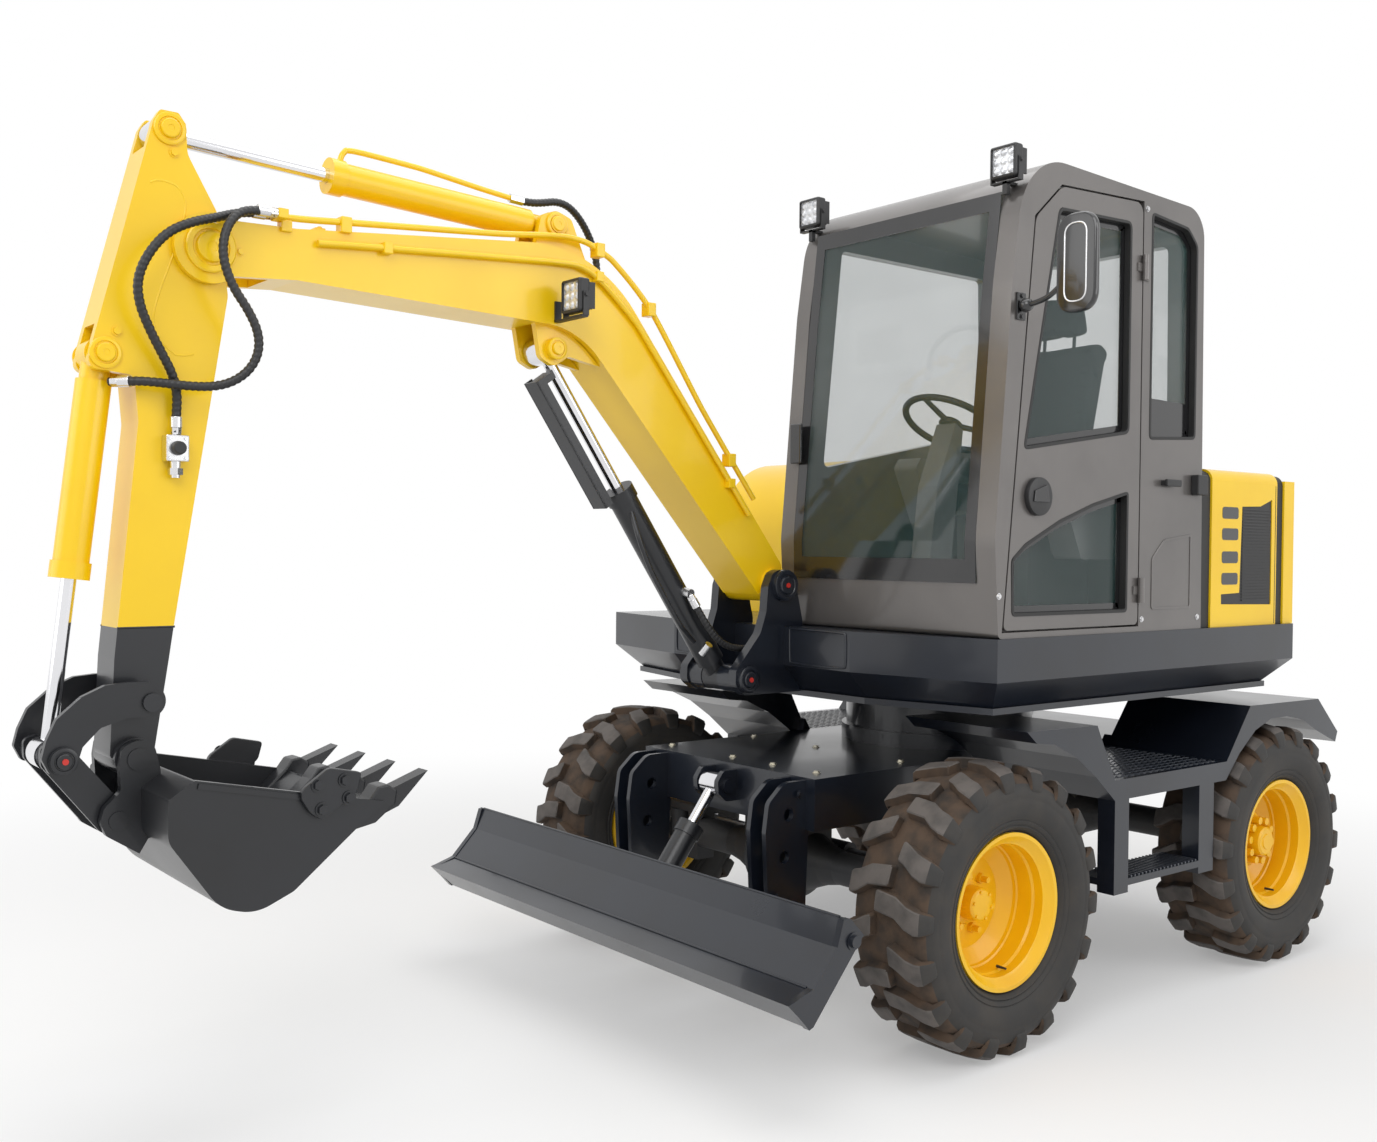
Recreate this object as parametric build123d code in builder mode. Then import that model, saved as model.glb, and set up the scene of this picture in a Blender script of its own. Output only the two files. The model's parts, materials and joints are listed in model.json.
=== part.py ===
from build123d import *
import math
import os

# Wheeled excavator, millimetres, +X forward, +Y left, +Z up, wheels on the ground at Z = 0.
# Everything is drawn about the swing axis, half way between the axles, and each piece is
# moved by TO_FRAME as it is written, so that the middle of the whole machine is the origin.

os.makedirs("parts", exist_ok=True)

# Frame
SHIFT_X = -1123.0
SHIFT_Y = -129.0
TO_FRAME = Location((SHIFT_X, SHIFT_Y, 0))

# Clearances
SEAT_GAP = 0.3
PIN_GAP = 0.3
SIDE_GAP = 2.0
MOVE_GAP = 6.0

# Wheels and axles
AXLE_X = 871.0
TYRE_RADIUS = 482.5
TYRE_WIDTH = 330.0
TREAD_HALF_WIDTH = 138.0
WHEEL_Y = 929.0
RIM_BARREL_RADIUS = 228.0
RIM_FLANGE_RADIUS = 261.0
RIM_HALF_WIDTH = 133.6
RIM_WALL = 14.0
RIM_DISC = 16.0
HUB_RADIUS = 90.0
SPINDLE_RADIUS = 45.0
SPINDLE_REACH = 20.0
HUB_INNER_REACH = 70.0
FRONT_CAP_RADIUS = 70.0
FRONT_CAP_REACH = 52.0
REAR_CAP_RADIUS = 118.0
REAR_CAP_REACH = 86.0
AXLE_TUBE_RADIUS = 62.0
AXLE_CASE_RADIUS = 150.0
KINGPIN_Y = 660.0
KINGPIN_RADIUS = 22.0
KNUCKLE_HALF_HEIGHT = 78.0
KNUCKLE_RADIUS = 48.0
YOKE_THICKNESS = 30.0
YOKE_SETBACK = 100.0
YOKE_WEB = 60.0
YOKE_HALF_LENGTH = 45.0
YOKE_NOSE = 34.0
STEER_ARM = 150.0
STEER_BARREL_RADIUS = 38.0
STEER_BARREL_HALF = 190.0
STEER_ROD_RADIUS = 18.0

# Chassis and slew ring
CHASSIS_FRONT_X = 1200.0
CHASSIS_REAR_X = -1160.0
CHASSIS_HALF_WIDTH = 485.0
CHASSIS_TOP = 872.0
CHASSIS_BOTTOM = 690.0
SADDLE_HALF_LENGTH = 90.0
SADDLE_HALF_WIDTH = 150.0
SLEW_RADIUS = 390.0
SLEW_FLANGE = 58.0

# Blade and its linkage
BLADE_HALF_WIDTH = 1058.0
BLADE_PLATE = 24.0
BLADE_PIVOT = (1270.0, 420.0)
BLADE_PIN_RADIUS = 24.0
BLADE_EAR = 20.0
BLADE_ARM_Y = 390.0
BLADE_ARM_WIDTH = 48.0
BLADE_CYL_EYE = (1245.0, 797.0)
BLADE_CYL_BASE = (1580.0, 360.0)
CYL_NECK = 36.0
BLADE_EYE = (1592.0, 512.0)
BLADE_EYE_RADIUS = 18.0
PLATE_EYE = (1280.0, 751.0)
LOWER_PLATE_EYE = (1298.0, 607.0)
PLATE_EYE_RADIUS = 22.0

# Platform
PLATFORM_FLOOR = 1120.0
PLATFORM_TOP = 1380.0
SKIRT_BOTTOM = 1237.0
SKIRT_INSET = 88.0
FLANGE_TOP = 1142.0
PLATFORM_HALF_WIDTH = 1057.0
PLATFORM_CORNER_X = 940.0
PLATFORM_FRONT_X = 1050.0
PLATFORM_FRONT_HALF = 497.0
PLATFORM_REAR_X = -968.0
TAIL_X = -1280.0

# Boom bracket on the platform
EAR_Y = 120.0
EAR_THICKNESS = 40.0
FOOT = (1056.0, 1533.0)
BOOM_CYL_BASE = (1229.0, 1193.0)
FOOT_PIN_RADIUS = 35.0
CYL_PIN_RADIUS = 28.0

# Cab
CAB_LEFT = 1050.0
CAB_RIGHT = 30.0
CAB_WALL = 50.0
GLASS = 6.0
DOOR_GAP = 7.0
DOOR_REAR_X = 142.0
HINGE_PIN_RADIUS = 6.0
HINGE_RADIUS = 12.0
HINGE_LEAF = 5.0
HINGE_HALF_HEIGHT = 45.0
HINGE_HEIGHTS = (1530.0, 2690.0)
PANE_GAP = 0.3

# Hood, side cover and counterweight
HOOD_LEFT = 1042.0
HOOD_RIGHT = -1045.0
HOOD_FRONT_X = -361.0
HOOD_REAR_X = -851.0
HOOD_TOP = 1992.0
HOOD_WALL = 18.0
SEAL_FRONT_X = -302.0
SEAL_REAR_X = -909.0
SIDE_COVER_LEFT = -48.0
SIDE_COVER_FRONT_X = 350.0
SIDE_COVER_TOP = 2070.0
CAB_REAR_X = -280.0

# Digging equipment
BOOM_HALF_WIDTH = 100.0
FORK_PLATE = 22.0
ARM_PIVOT = (3160.0, 2484.0)
ARM_PIN_RADIUS = 32.0
BOOM_CYL_EYE = (2015.0, 2320.0)
ARM_CYL_BASE = (2009.0, 2729.0)
ARM_CYL_EYE = (3264.0, 2794.0)
BUCKET_CYL_BASE = (3430.0, 2172.0)
LINK_EYE = (3554.0, 1109.0)
SIDE_LINK_PIVOT = (3332.0, 1245.0)
BUCKET_PIVOT = (3357.0, 1092.0)
BUCKET_LINK = (3409.0, 933.0)
ARM_BOSS_HALF = 103.0
BUCKET_EAR_INNER = 105.0
BUCKET_EAR = 25.0
SIDE_LINK_INNER = 136.0
SIDE_LINK_PLATE = 22.0
TIP_LINK_INNER = 80.0
TIP_LINK_OUTER = 98.0
LINK_PIN_RADIUS = 25.0
EYE_HALF_WIDTH = 44.0
BUCKET_HALF_WIDTH = 350.0
BUCKET_SIDE = 20.0
TOOTH_COUNT = 4

# Worked out from the sizes above
AXLE_HEIGHT = TYRE_RADIUS
STEER_END_Y = KINGPIN_Y - 20
ARM_HALF_WIDTH = BOOM_HALF_WIDTH - FORK_PLATE - SIDE_GAP
EAR_OUTER = EAR_Y + EAR_THICKNESS
FOOT_HALF_WIDTH = EAR_Y - SIDE_GAP
EYE_SLOT_HALF = EYE_HALF_WIDTH + SIDE_GAP


def side_plane(y):
    """Upright plane along the machine, y to the left of its middle; sketches on it read (X, Z)."""
    return Plane(origin=(0, y, 0), x_dir=(1, 0, 0), z_dir=(0, -1, 0))


def front_plane(x):
    """Upright plane across the machine at x; sketches on it read (Y, Z)."""
    return Plane(origin=(x, 0, 0), x_dir=(0, 1, 0), z_dir=(1, 0, 0))


def profile(plane, points, radius=0, spread=0):
    """Closed outline on a plane, with one corner radius for all corners or one for each, spread evenly outwards."""
    with BuildSketch(plane) as face:
        with BuildLine():
            if radius:
                FilletPolyline(*points, radius=radius, close=True)
            else:
                Polyline(*points, close=True)
        make_face()
        if spread:
            offset(amount=spread)
    return face.sketch


def slab(points, y_from, y_to, radius=0, spread=0, mode=Mode.ADD):
    """Outline in (X, Z) made solid between two distances to the left of the middle."""
    extrude(to_extrude=profile(side_plane(y_to), points, radius, spread), amount=y_to - y_from, mode=mode)


def deck(points, z_from, z_to, radius=0, mode=Mode.ADD):
    """Outline in (X, Y) made solid between two heights."""
    extrude(to_extrude=profile(Plane.XY.offset(z_from), points, radius), amount=z_to - z_from, mode=mode)


def block(x_from, x_to, y_from, y_to, z_from, z_to, mode=Mode.ADD):
    """Box given by its two corners."""
    deck([(x_from, y_from), (x_to, y_from), (x_to, y_to), (x_from, y_to)], z_from, z_to, mode=mode)


def disc(centre, radius, y_from, y_to, mode=Mode.ADD):
    """Round boss, pin or bore along Y, centred on an (X, Z) point."""
    with BuildSketch(side_plane(y_to)) as face:
        with Locations(centre):
            Circle(radius)
    extrude(to_extrude=face.sketch, amount=y_to - y_from, mode=mode)


def upright(x, y, radius, z_from, z_to, mode=Mode.ADD):
    """Round post or bore along Z."""
    with BuildSketch(Plane.XY.offset(z_from)) as face:
        with Locations((x, y)):
            Circle(radius)
    extrude(to_extrude=face.sketch, amount=z_to - z_from, mode=mode)


def along(base, tip, start, end, radius, mode=Mode.ADD):
    """Round bar in the machine's middle plane, measured from base towards tip."""
    reach = math.dist(base, tip)
    step_x = (tip[0] - base[0]) / reach
    step_z = (tip[1] - base[1]) / reach
    origin = (base[0] + start * step_x, 0, base[1] + start * step_z)
    with BuildSketch(Plane(origin=origin, x_dir=(0, 1, 0), z_dir=(step_x, 0, step_z))) as face:
        Circle(radius)
    extrude(to_extrude=face.sketch, amount=end - start, mode=mode)


def turned(section, x, y, outward):
    """Ring or hub turned about a wheel's axle; section reads (radius, distance outwards)."""
    points = [(radius, outward * offset) for radius, offset in section]
    plane = Plane(origin=(x, y, AXLE_HEIGHT), x_dir=(1, 0, 0), z_dir=(0, 0, 1))
    revolve(profiles=profile(plane, points), axis=Axis((x, y, AXLE_HEIGHT), (0, 1, 0)))


def save(piece, label):
    """Label a finished piece and write it in its place about the machine's middle."""
    piece.part.label = label
    export_step(piece.part.moved(TO_FRAME), f"parts/{label}.step")


# Wheels: columns are name, axle X, side (1 left, -1 right), cap radius, cap reach
WHEELS = [
    ("front_left", AXLE_X, 1, FRONT_CAP_RADIUS, FRONT_CAP_REACH),
    ("front_right", AXLE_X, -1, FRONT_CAP_RADIUS, FRONT_CAP_REACH),
    ("rear_left", -AXLE_X, 1, REAR_CAP_RADIUS, REAR_CAP_REACH),
    ("rear_right", -AXLE_X, -1, REAR_CAP_RADIUS, REAR_CAP_REACH),
]

for wheel_name, wheel_x, side, cap_radius, cap_reach in WHEELS:
    barrel_inside = RIM_BARREL_RADIUS - RIM_WALL
    rim_section = [
        (RIM_FLANGE_RADIUS, RIM_HALF_WIDTH),
        (RIM_FLANGE_RADIUS, RIM_HALF_WIDTH - 12),
        (RIM_BARREL_RADIUS + 10, RIM_HALF_WIDTH - 16),
        (RIM_BARREL_RADIUS, RIM_HALF_WIDTH - 34),
        (RIM_BARREL_RADIUS, 34 - RIM_HALF_WIDTH),
        (RIM_BARREL_RADIUS + 10, 16 - RIM_HALF_WIDTH),
        (RIM_FLANGE_RADIUS, 12 - RIM_HALF_WIDTH),
        (RIM_FLANGE_RADIUS, -RIM_HALF_WIDTH),
        (RIM_FLANGE_RADIUS - 15, -RIM_HALF_WIDTH),
        (barrel_inside, 26 - RIM_HALF_WIDTH),
        (barrel_inside, -34),
        (150, -22),
        (HUB_RADIUS, -22),
        (HUB_RADIUS, -HUB_INNER_REACH),
        (SPINDLE_RADIUS + PIN_GAP, -HUB_INNER_REACH),
        (SPINDLE_RADIUS + PIN_GAP, SPINDLE_REACH),
        (0, SPINDLE_REACH),
        (0, cap_reach),
        (cap_radius - 10, cap_reach),
        (cap_radius, cap_reach - 8),
        (cap_radius + 8, 8),
        (cap_radius + 8, RIM_DISC - 22),
        (150, RIM_DISC - 22),
        (190, 10),
        (barrel_inside, 40),
        (barrel_inside, RIM_HALF_WIDTH - 30),
        (RIM_FLANGE_RADIUS - 17, RIM_HALF_WIDTH),
    ]
    with BuildPart() as rim:
        turned(rim_section, wheel_x, side * WHEEL_Y, side)
    save(rim, f"rim_{wheel_name}")

    half_width = TYRE_WIDTH / 2
    bead = RIM_HALF_WIDTH - 16 - PIN_GAP
    tyre_section = [
        (RIM_BARREL_RADIUS + PIN_GAP, RIM_HALF_WIDTH - 35),
        (RIM_BARREL_RADIUS + 10 + PIN_GAP, bead - 1),
        (RIM_FLANGE_RADIUS + 4, RIM_HALF_WIDTH - 13),
        (RIM_FLANGE_RADIUS + 16, half_width - 22),
        (RIM_FLANGE_RADIUS + 70, half_width - 3),
        (RIM_FLANGE_RADIUS + 130, half_width),
        (TYRE_RADIUS - 40, half_width - 10),
        (TYRE_RADIUS, TREAD_HALF_WIDTH),
    ]
    tyre_section = tyre_section + [(radius, -offset) for radius, offset in reversed(tyre_section)]
    with BuildPart() as tyre:
        turned(tyre_section, wheel_x, side * WHEEL_Y, side)
    save(tyre, f"tyre_{wheel_name}")

# Steering knuckles: a kingpin barrel, hub carrier, spindle and a rearward steering arm each
for side_name, side in (("left", 1), ("right", -1)):
    hub_face = WHEEL_Y - HUB_INNER_REACH - SIDE_GAP
    spindle_end = WHEEL_Y + SPINDLE_REACH - SIDE_GAP
    carrier_section = [
        (0, KINGPIN_Y + 10),
        (64, KINGPIN_Y + 10),
        (64, KINGPIN_Y + KNUCKLE_RADIUS + 12),
        (104, KINGPIN_Y + KNUCKLE_RADIUS + 36),
        (104, hub_face - 40),
        (70, hub_face),
        (SPINDLE_RADIUS, hub_face),
        (SPINDLE_RADIUS, spindle_end),
        (0, spindle_end),
    ]
    arm_y = side * STEER_END_Y
    with BuildPart() as knuckle:
        upright(AXLE_X, side * KINGPIN_Y, KNUCKLE_RADIUS, AXLE_HEIGHT - KNUCKLE_HALF_HEIGHT, AXLE_HEIGHT + KNUCKLE_HALF_HEIGHT)
        turned(carrier_section, AXLE_X, 0, side)
        deck([(AXLE_X + 30, side * (KINGPIN_Y - 20)), (AXLE_X + 30, side * (KINGPIN_Y + 30)),
              (AXLE_X - STEER_ARM - 26, arm_y + side * 24), (AXLE_X - STEER_ARM - 26, arm_y - side * 24)],
             AXLE_HEIGHT + 44, AXLE_HEIGHT + 66)
        upright(AXLE_X, side * KINGPIN_Y, KINGPIN_RADIUS + PIN_GAP,
                AXLE_HEIGHT - KNUCKLE_HALF_HEIGHT, AXLE_HEIGHT + KNUCKLE_HALF_HEIGHT, mode=Mode.SUBTRACT)
    save(knuckle, f"knuckle_{side_name}")

# Axle cases; the section reads (radius, distance from the middle), used on both sides
case_section = [
    (0, 0),
    (AXLE_CASE_RADIUS, 0),
    (AXLE_CASE_RADIUS, 84),
    (AXLE_CASE_RADIUS - 34, 122),
    (AXLE_TUBE_RADIUS + 14, 230),
    (AXLE_TUBE_RADIUS, 300),
]
yoke_outer = KINGPIN_Y - YOKE_SETBACK
yoke_inner = yoke_outer - YOKE_WEB
with BuildPart() as front_axle:
    for side in (1, -1):
        turned(case_section + [(AXLE_TUBE_RADIUS, yoke_outer), (0, yoke_outer)], AXLE_X, 0, side)
        low, high = sorted((side * yoke_inner, side * yoke_outer))
        yoke_reach = KNUCKLE_HALF_HEIGHT + SIDE_GAP + YOKE_THICKNESS
        block(AXLE_X - YOKE_HALF_LENGTH, AXLE_X + YOKE_HALF_LENGTH, low, high,
              AXLE_HEIGHT - yoke_reach, AXLE_HEIGHT + yoke_reach)
        for z_from in (AXLE_HEIGHT - yoke_reach, AXLE_HEIGHT + KNUCKLE_HALF_HEIGHT + SIDE_GAP):
            deck([(AXLE_X - YOKE_HALF_LENGTH, side * yoke_inner), (AXLE_X + YOKE_HALF_LENGTH, side * yoke_inner),
                  (AXLE_X + YOKE_NOSE, side * (KINGPIN_Y + YOKE_NOSE)), (AXLE_X - YOKE_NOSE, side * (KINGPIN_Y + YOKE_NOSE))],
                 z_from, z_from + YOKE_THICKNESS)
        upright(AXLE_X, side * KINGPIN_Y, KINGPIN_RADIUS, AXLE_HEIGHT - yoke_reach, AXLE_HEIGHT + yoke_reach)
    # Steering cylinder barrel on two lugs behind the case
    steer_x = AXLE_X - STEER_ARM
    steer_z = AXLE_HEIGHT + 20
    with BuildSketch(Plane(origin=(steer_x, -STEER_BARREL_HALF, steer_z), x_dir=(1, 0, 0), z_dir=(0, 1, 0))) as barrel_end:
        Circle(STEER_BARREL_RADIUS)
    extrude(to_extrude=barrel_end.sketch, amount=2 * STEER_BARREL_HALF)
    for lug_y in (-STEER_BARREL_HALF + 40, STEER_BARREL_HALF - 40):
        block(steer_x, AXLE_X, lug_y - 12, lug_y + 12, steer_z - 26, steer_z + 26)
    with BuildSketch(Plane(origin=(steer_x, -STEER_BARREL_HALF, steer_z), x_dir=(1, 0, 0), z_dir=(0, 1, 0))) as rod_bore:
        Circle(STEER_ROD_RADIUS + PIN_GAP)
    extrude(to_extrude=rod_bore.sketch, amount=2 * STEER_BARREL_HALF, mode=Mode.SUBTRACT)
    block(AXLE_X - SADDLE_HALF_LENGTH, AXLE_X + SADDLE_HALF_LENGTH, -SADDLE_HALF_WIDTH, SADDLE_HALF_WIDTH,
          AXLE_HEIGHT + 60, CHASSIS_BOTTOM - 40 - SEAT_GAP)
save(front_axle, "front_axle")

# The steering rod slides through that barrel and ends under the two steering arms
with BuildPart() as steering_rod:
    with BuildSketch(Plane(origin=(steer_x, -STEER_END_Y, steer_z), x_dir=(1, 0, 0), z_dir=(0, 1, 0))) as rod_end:
        Circle(STEER_ROD_RADIUS)
    extrude(to_extrude=rod_end.sketch, amount=2 * STEER_END_Y)
    for side in (1, -1):
        upright(steer_x, side * STEER_END_Y, 26, steer_z - 20, AXLE_HEIGHT + 44 - SIDE_GAP)
save(steering_rod, "steering_rod")

spindle_start = WHEEL_Y - HUB_INNER_REACH - SIDE_GAP
with BuildPart() as rear_axle:
    for side in (1, -1):
        turned(case_section + [
            (AXLE_TUBE_RADIUS, 640), (112, 650), (112, spindle_start - 50), (70, spindle_start),
            (SPINDLE_RADIUS, spindle_start), (SPINDLE_RADIUS, WHEEL_Y + SPINDLE_REACH - SIDE_GAP),
            (0, WHEEL_Y + SPINDLE_REACH - SIDE_GAP)], -AXLE_X, 0, side)
    block(-AXLE_X - SADDLE_HALF_LENGTH, SADDLE_HALF_LENGTH - AXLE_X, -SADDLE_HALF_WIDTH, SADDLE_HALF_WIDTH,
          AXLE_HEIGHT + 60, CHASSIS_BOTTOM - 40 - SEAT_GAP)
save(rear_axle, "rear_axle")

# Transfer case under the chassis with a shaft to each axle
shaft_z = AXLE_HEIGHT + 40
case_end = AXLE_X - AXLE_CASE_RADIUS - SEAT_GAP
with BuildPart() as driveline:
    slab([(-330, CHASSIS_BOTTOM - SEAT_GAP), (120, CHASSIS_BOTTOM - SEAT_GAP), (120, 560), (60, 470), (-250, 470), (-330, 540)],
         -150, 150)
    with BuildSketch(front_plane(-case_end)) as shaft_end:
        with Locations((0, shaft_z)):
            Circle(34)
    extrude(to_extrude=shaft_end.sketch, amount=case_end - STEER_BARREL_RADIUS - 60)
save(driveline, "driveline")

# Chassis: welded box, axle saddles, blade plates and the blade cylinder's clevis
BLADE_PLATE_OUTLINE = [(CHASSIS_FRONT_X - 40, 863), (1300, 863), (1372, 800), (1386, 700), (1372, 470),
                       (1320, 372), (1225, 368), (1196, 420), (1186, CHASSIS_BOTTOM), (CHASSIS_FRONT_X - 40, CHASSIS_BOTTOM)]
plate_gap = BLADE_ARM_WIDTH / 2 + MOVE_GAP
with BuildPart() as chassis_frame:
    block(CHASSIS_REAR_X, CHASSIS_FRONT_X, -CHASSIS_HALF_WIDTH, CHASSIS_HALF_WIDTH, CHASSIS_BOTTOM, CHASSIS_TOP)
    for saddle_x in (AXLE_X, -AXLE_X):
        slab([(saddle_x - 190, CHASSIS_BOTTOM + 10), (saddle_x - SADDLE_HALF_LENGTH, CHASSIS_BOTTOM - 40),
              (saddle_x + SADDLE_HALF_LENGTH, CHASSIS_BOTTOM - 40), (saddle_x + 190, CHASSIS_BOTTOM + 10)],
             -SADDLE_HALF_WIDTH, SADDLE_HALF_WIDTH)
    for side in (1, -1):
        for gap_side in (1, -1):
            near = side * BLADE_ARM_Y + gap_side * plate_gap
            far = near + gap_side * BLADE_EAR
            slab(BLADE_PLATE_OUTLINE, min(near, far), max(near, far), radius=[0, 60, 40, 30, 40, 44, 24, 20, 0, 0])
            for plate_hole in (PLATE_EYE, LOWER_PLATE_EYE):
                disc(plate_hole, PLATE_EYE_RADIUS, min(near, far), max(near, far), mode=Mode.SUBTRACT)
        disc(BLADE_PIVOT, BLADE_PIN_RADIUS, side * BLADE_ARM_Y - plate_gap - BLADE_EAR - 8,
             side * BLADE_ARM_Y + plate_gap + BLADE_EAR + 8)
        clevis_near = side * (EYE_SLOT_HALF + 4)
        clevis_far = clevis_near + side * 22
        slab([(CHASSIS_FRONT_X - 10, 852), (1262, 852), (1290, 815), (1286, 770), (1250, 738), (CHASSIS_FRONT_X - 10, 738)],
             min(clevis_near, clevis_far), max(clevis_near, clevis_far), radius=[0, 26, 20, 20, 26, 0])
        stub_far = clevis_far + side * 14
        disc(BLADE_CYL_EYE, 26, min(clevis_far, stub_far), max(clevis_far, stub_far))
save(chassis_frame, "chassis_frame")

with BuildPart() as slew_ring:
    upright(0, 0, SLEW_RADIUS + 20, CHASSIS_TOP, CHASSIS_TOP + SLEW_FLANGE)
    upright(0, 0, SLEW_RADIUS, CHASSIS_TOP + SLEW_FLANGE, PLATFORM_FLOOR - SEAT_GAP)
save(slew_ring, "slew_ring")

# Fenders with the step frame under the deck on each side; columns are X, Z
FENDER_OUTLINE = [(783, 1067), (389, 1060), (279, 856), (-466, 856), (-638, 1062), (-1186, 1056), (-1359, 905),
                  (-1341, 862), (-1172, 924), (-1062, 975), (-929, 1000), (-802, 1000), (-679, 962), (-560, 880),
                  (-462, 783), (277, 783), (394, 880), (507, 957), (634, 1014), (731, 1025)]
STEP_POSTS = [(190, 277), (-376, -274)]
FENDER_OUTER = 1060.0
FENDER_INNER = CHASSIS_HALF_WIDTH + SEAT_GAP
FENDER_ROOF_INNER = 520.0
with BuildPart() as fenders:
    for side in (1, -1):
        low, high = sorted((side * FENDER_ROOF_INNER, side * FENDER_OUTER))
        slab(FENDER_OUTLINE, low, high)
        low, high = sorted((side * FENDER_INNER, side * (FENDER_ROOF_INNER + 10)))
        slab([(320, 920), (279, 856), (-466, 856), (-500, 896), (-500, 783), (277, 783), (340, 835)], low, high)
        for post_from, post_to in STEP_POSTS:
            low, high = sorted((side * 990, side * FENDER_OUTER))
            block(post_from, post_to, low, high, 445, 790)
        low, high = sorted((side * 900, side * FENDER_OUTER))
        block(STEP_POSTS[1][0], STEP_POSTS[0][1], low, high, 470, 495)
save(fenders, "fenders")

# Dozer blade: bent moldboard, foot, end plates, torsion beam and two arms; columns are X, Z
MOLDBOARD = [(1622, 585), (1655, 502), (1755, 396), (1852, 371), (1768, 288), (1752, 303), (1815, 362), (1744, 376),
             (1634, 492), (1599, 577)]
END_PLATE = [(1632, 582), (1604, 580), (1548, 523), (1752, 290), (1768, 284), (1848, 371), (1755, 400), (1657, 504)]
with BuildPart() as blade:
    slab(MOLDBOARD, -BLADE_HALF_WIDTH, BLADE_HALF_WIDTH)
    for side in (1, -1):
        low, high = sorted((side * (BLADE_HALF_WIDTH - BLADE_PLATE), side * BLADE_HALF_WIDTH))
        slab(END_PLATE, low, high)
        disc(BLADE_EYE, BLADE_EYE_RADIUS, low, high, mode=Mode.SUBTRACT)
    slab([(1640, 500), (1560, 470), (1575, 400), (1700, 340), (1752, 390)], -700, 700)
    for side in (1, -1):
        low = side * BLADE_ARM_Y - BLADE_ARM_WIDTH / 2
        high = side * BLADE_ARM_Y + BLADE_ARM_WIDTH / 2
        slab([(1262, 466), (1300, 462), (1600, 480), (1680, 380), (1560, 330), (1300, 372), (1262, 374)], low, high)
        disc(BLADE_PIVOT, 46, low, high)
        low, high = sorted((side * (EYE_SLOT_HALF + 2), side * (EYE_SLOT_HALF + 24)))
        slab([(1640, 440), (1580, 402), (1545, 362), (1560, 326), (1600, 318), (1700, 345)], low, high)
        low = side * BLADE_ARM_Y - BLADE_ARM_WIDTH
        high = side * BLADE_ARM_Y + BLADE_ARM_WIDTH
        disc(BLADE_PIVOT, BLADE_PIN_RADIUS + PIN_GAP, low, high, mode=Mode.SUBTRACT)
    slab([(1480, 240), (1640, 300), (1650, 400), (1600, 490), (1560, 560), (1480, 560)],
         -EYE_SLOT_HALF - 2, EYE_SLOT_HALF + 2, mode=Mode.SUBTRACT)
    disc(BLADE_CYL_BASE, CYL_PIN_RADIUS - 4, -EYE_SLOT_HALF - 36, EYE_SLOT_HALF + 36)
save(blade, "blade")

# Hydraulic cylinders in the middle plane; the neck clears the ears that hold the barrel.
# Columns: name, base pin, rod eye, barrel radius, rod radius, barrel length, rod inside the barrel, eye radius, pin
CYLINDERS = [
    ("boom_cylinder", BOOM_CYL_BASE, BOOM_CYL_EYE, 50.0, 22.0, 826.0, 320.0, 46.0, CYL_PIN_RADIUS),
    ("arm_cylinder", ARM_CYL_BASE, ARM_CYL_EYE, 48.0, 22.0, 770.0, 290.0, 44.0, CYL_PIN_RADIUS),
    ("bucket_cylinder", BUCKET_CYL_BASE, LINK_EYE, 46.0, 20.0, 605.0, 150.0, 42.0, CYL_PIN_RADIUS - 3),
    ("blade_cylinder", BLADE_CYL_BASE, BLADE_CYL_EYE, 44.0, 22.0, 372.0, 190.0, 40.0, CYL_PIN_RADIUS - 4),
]
for cyl_name, base, eye, barrel_radius, rod_radius, barrel_length, rod_inside, eye_radius, pin_radius in CYLINDERS:
    cyl_length = math.dist(base, eye)
    with BuildPart() as barrel:
        along(base, eye, 0, eye_radius + CYL_NECK, EYE_HALF_WIDTH - 6)
        along(base, eye, eye_radius + CYL_NECK - 8, barrel_length, barrel_radius)
        along(base, eye, barrel_length - 46, barrel_length, barrel_radius + 6)
        disc(base, eye_radius + 2, -EYE_HALF_WIDTH, EYE_HALF_WIDTH)
        along(base, eye, eye_radius + 20, barrel_length, rod_radius + PIN_GAP, mode=Mode.SUBTRACT)
        disc(base, pin_radius + PIN_GAP, -barrel_radius - 20, barrel_radius + 20, mode=Mode.SUBTRACT)
    save(barrel, f"{cyl_name}_barrel")
    with BuildPart() as rod:
        along(base, eye, barrel_length - rod_inside, cyl_length, rod_radius)
        disc(eye, eye_radius, -EYE_HALF_WIDTH, EYE_HALF_WIDTH)
    save(rod, f"{cyl_name}_rod")

# Platform: flange, tapered belly, upright skirt and the boom bracket
def platform_outline(inset, height):
    """Plan of the platform, drawn in by an inset, with the tail as an arc."""
    half = PLATFORM_HALF_WIDTH - inset
    rear = PLATFORM_REAR_X + inset
    with BuildSketch(Plane.XY.offset(height)) as face:
        with BuildLine():
            Polyline((rear, half), (PLATFORM_CORNER_X - inset, half), (PLATFORM_FRONT_X - inset, PLATFORM_FRONT_HALF),
                     (PLATFORM_FRONT_X - inset, -PLATFORM_FRONT_HALF), (PLATFORM_CORNER_X - inset, -half), (rear, -half))
            ThreePointArc((rear, -half), (TAIL_X + inset, 0), (rear, half))
        make_face()
    return face.sketch


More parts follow.
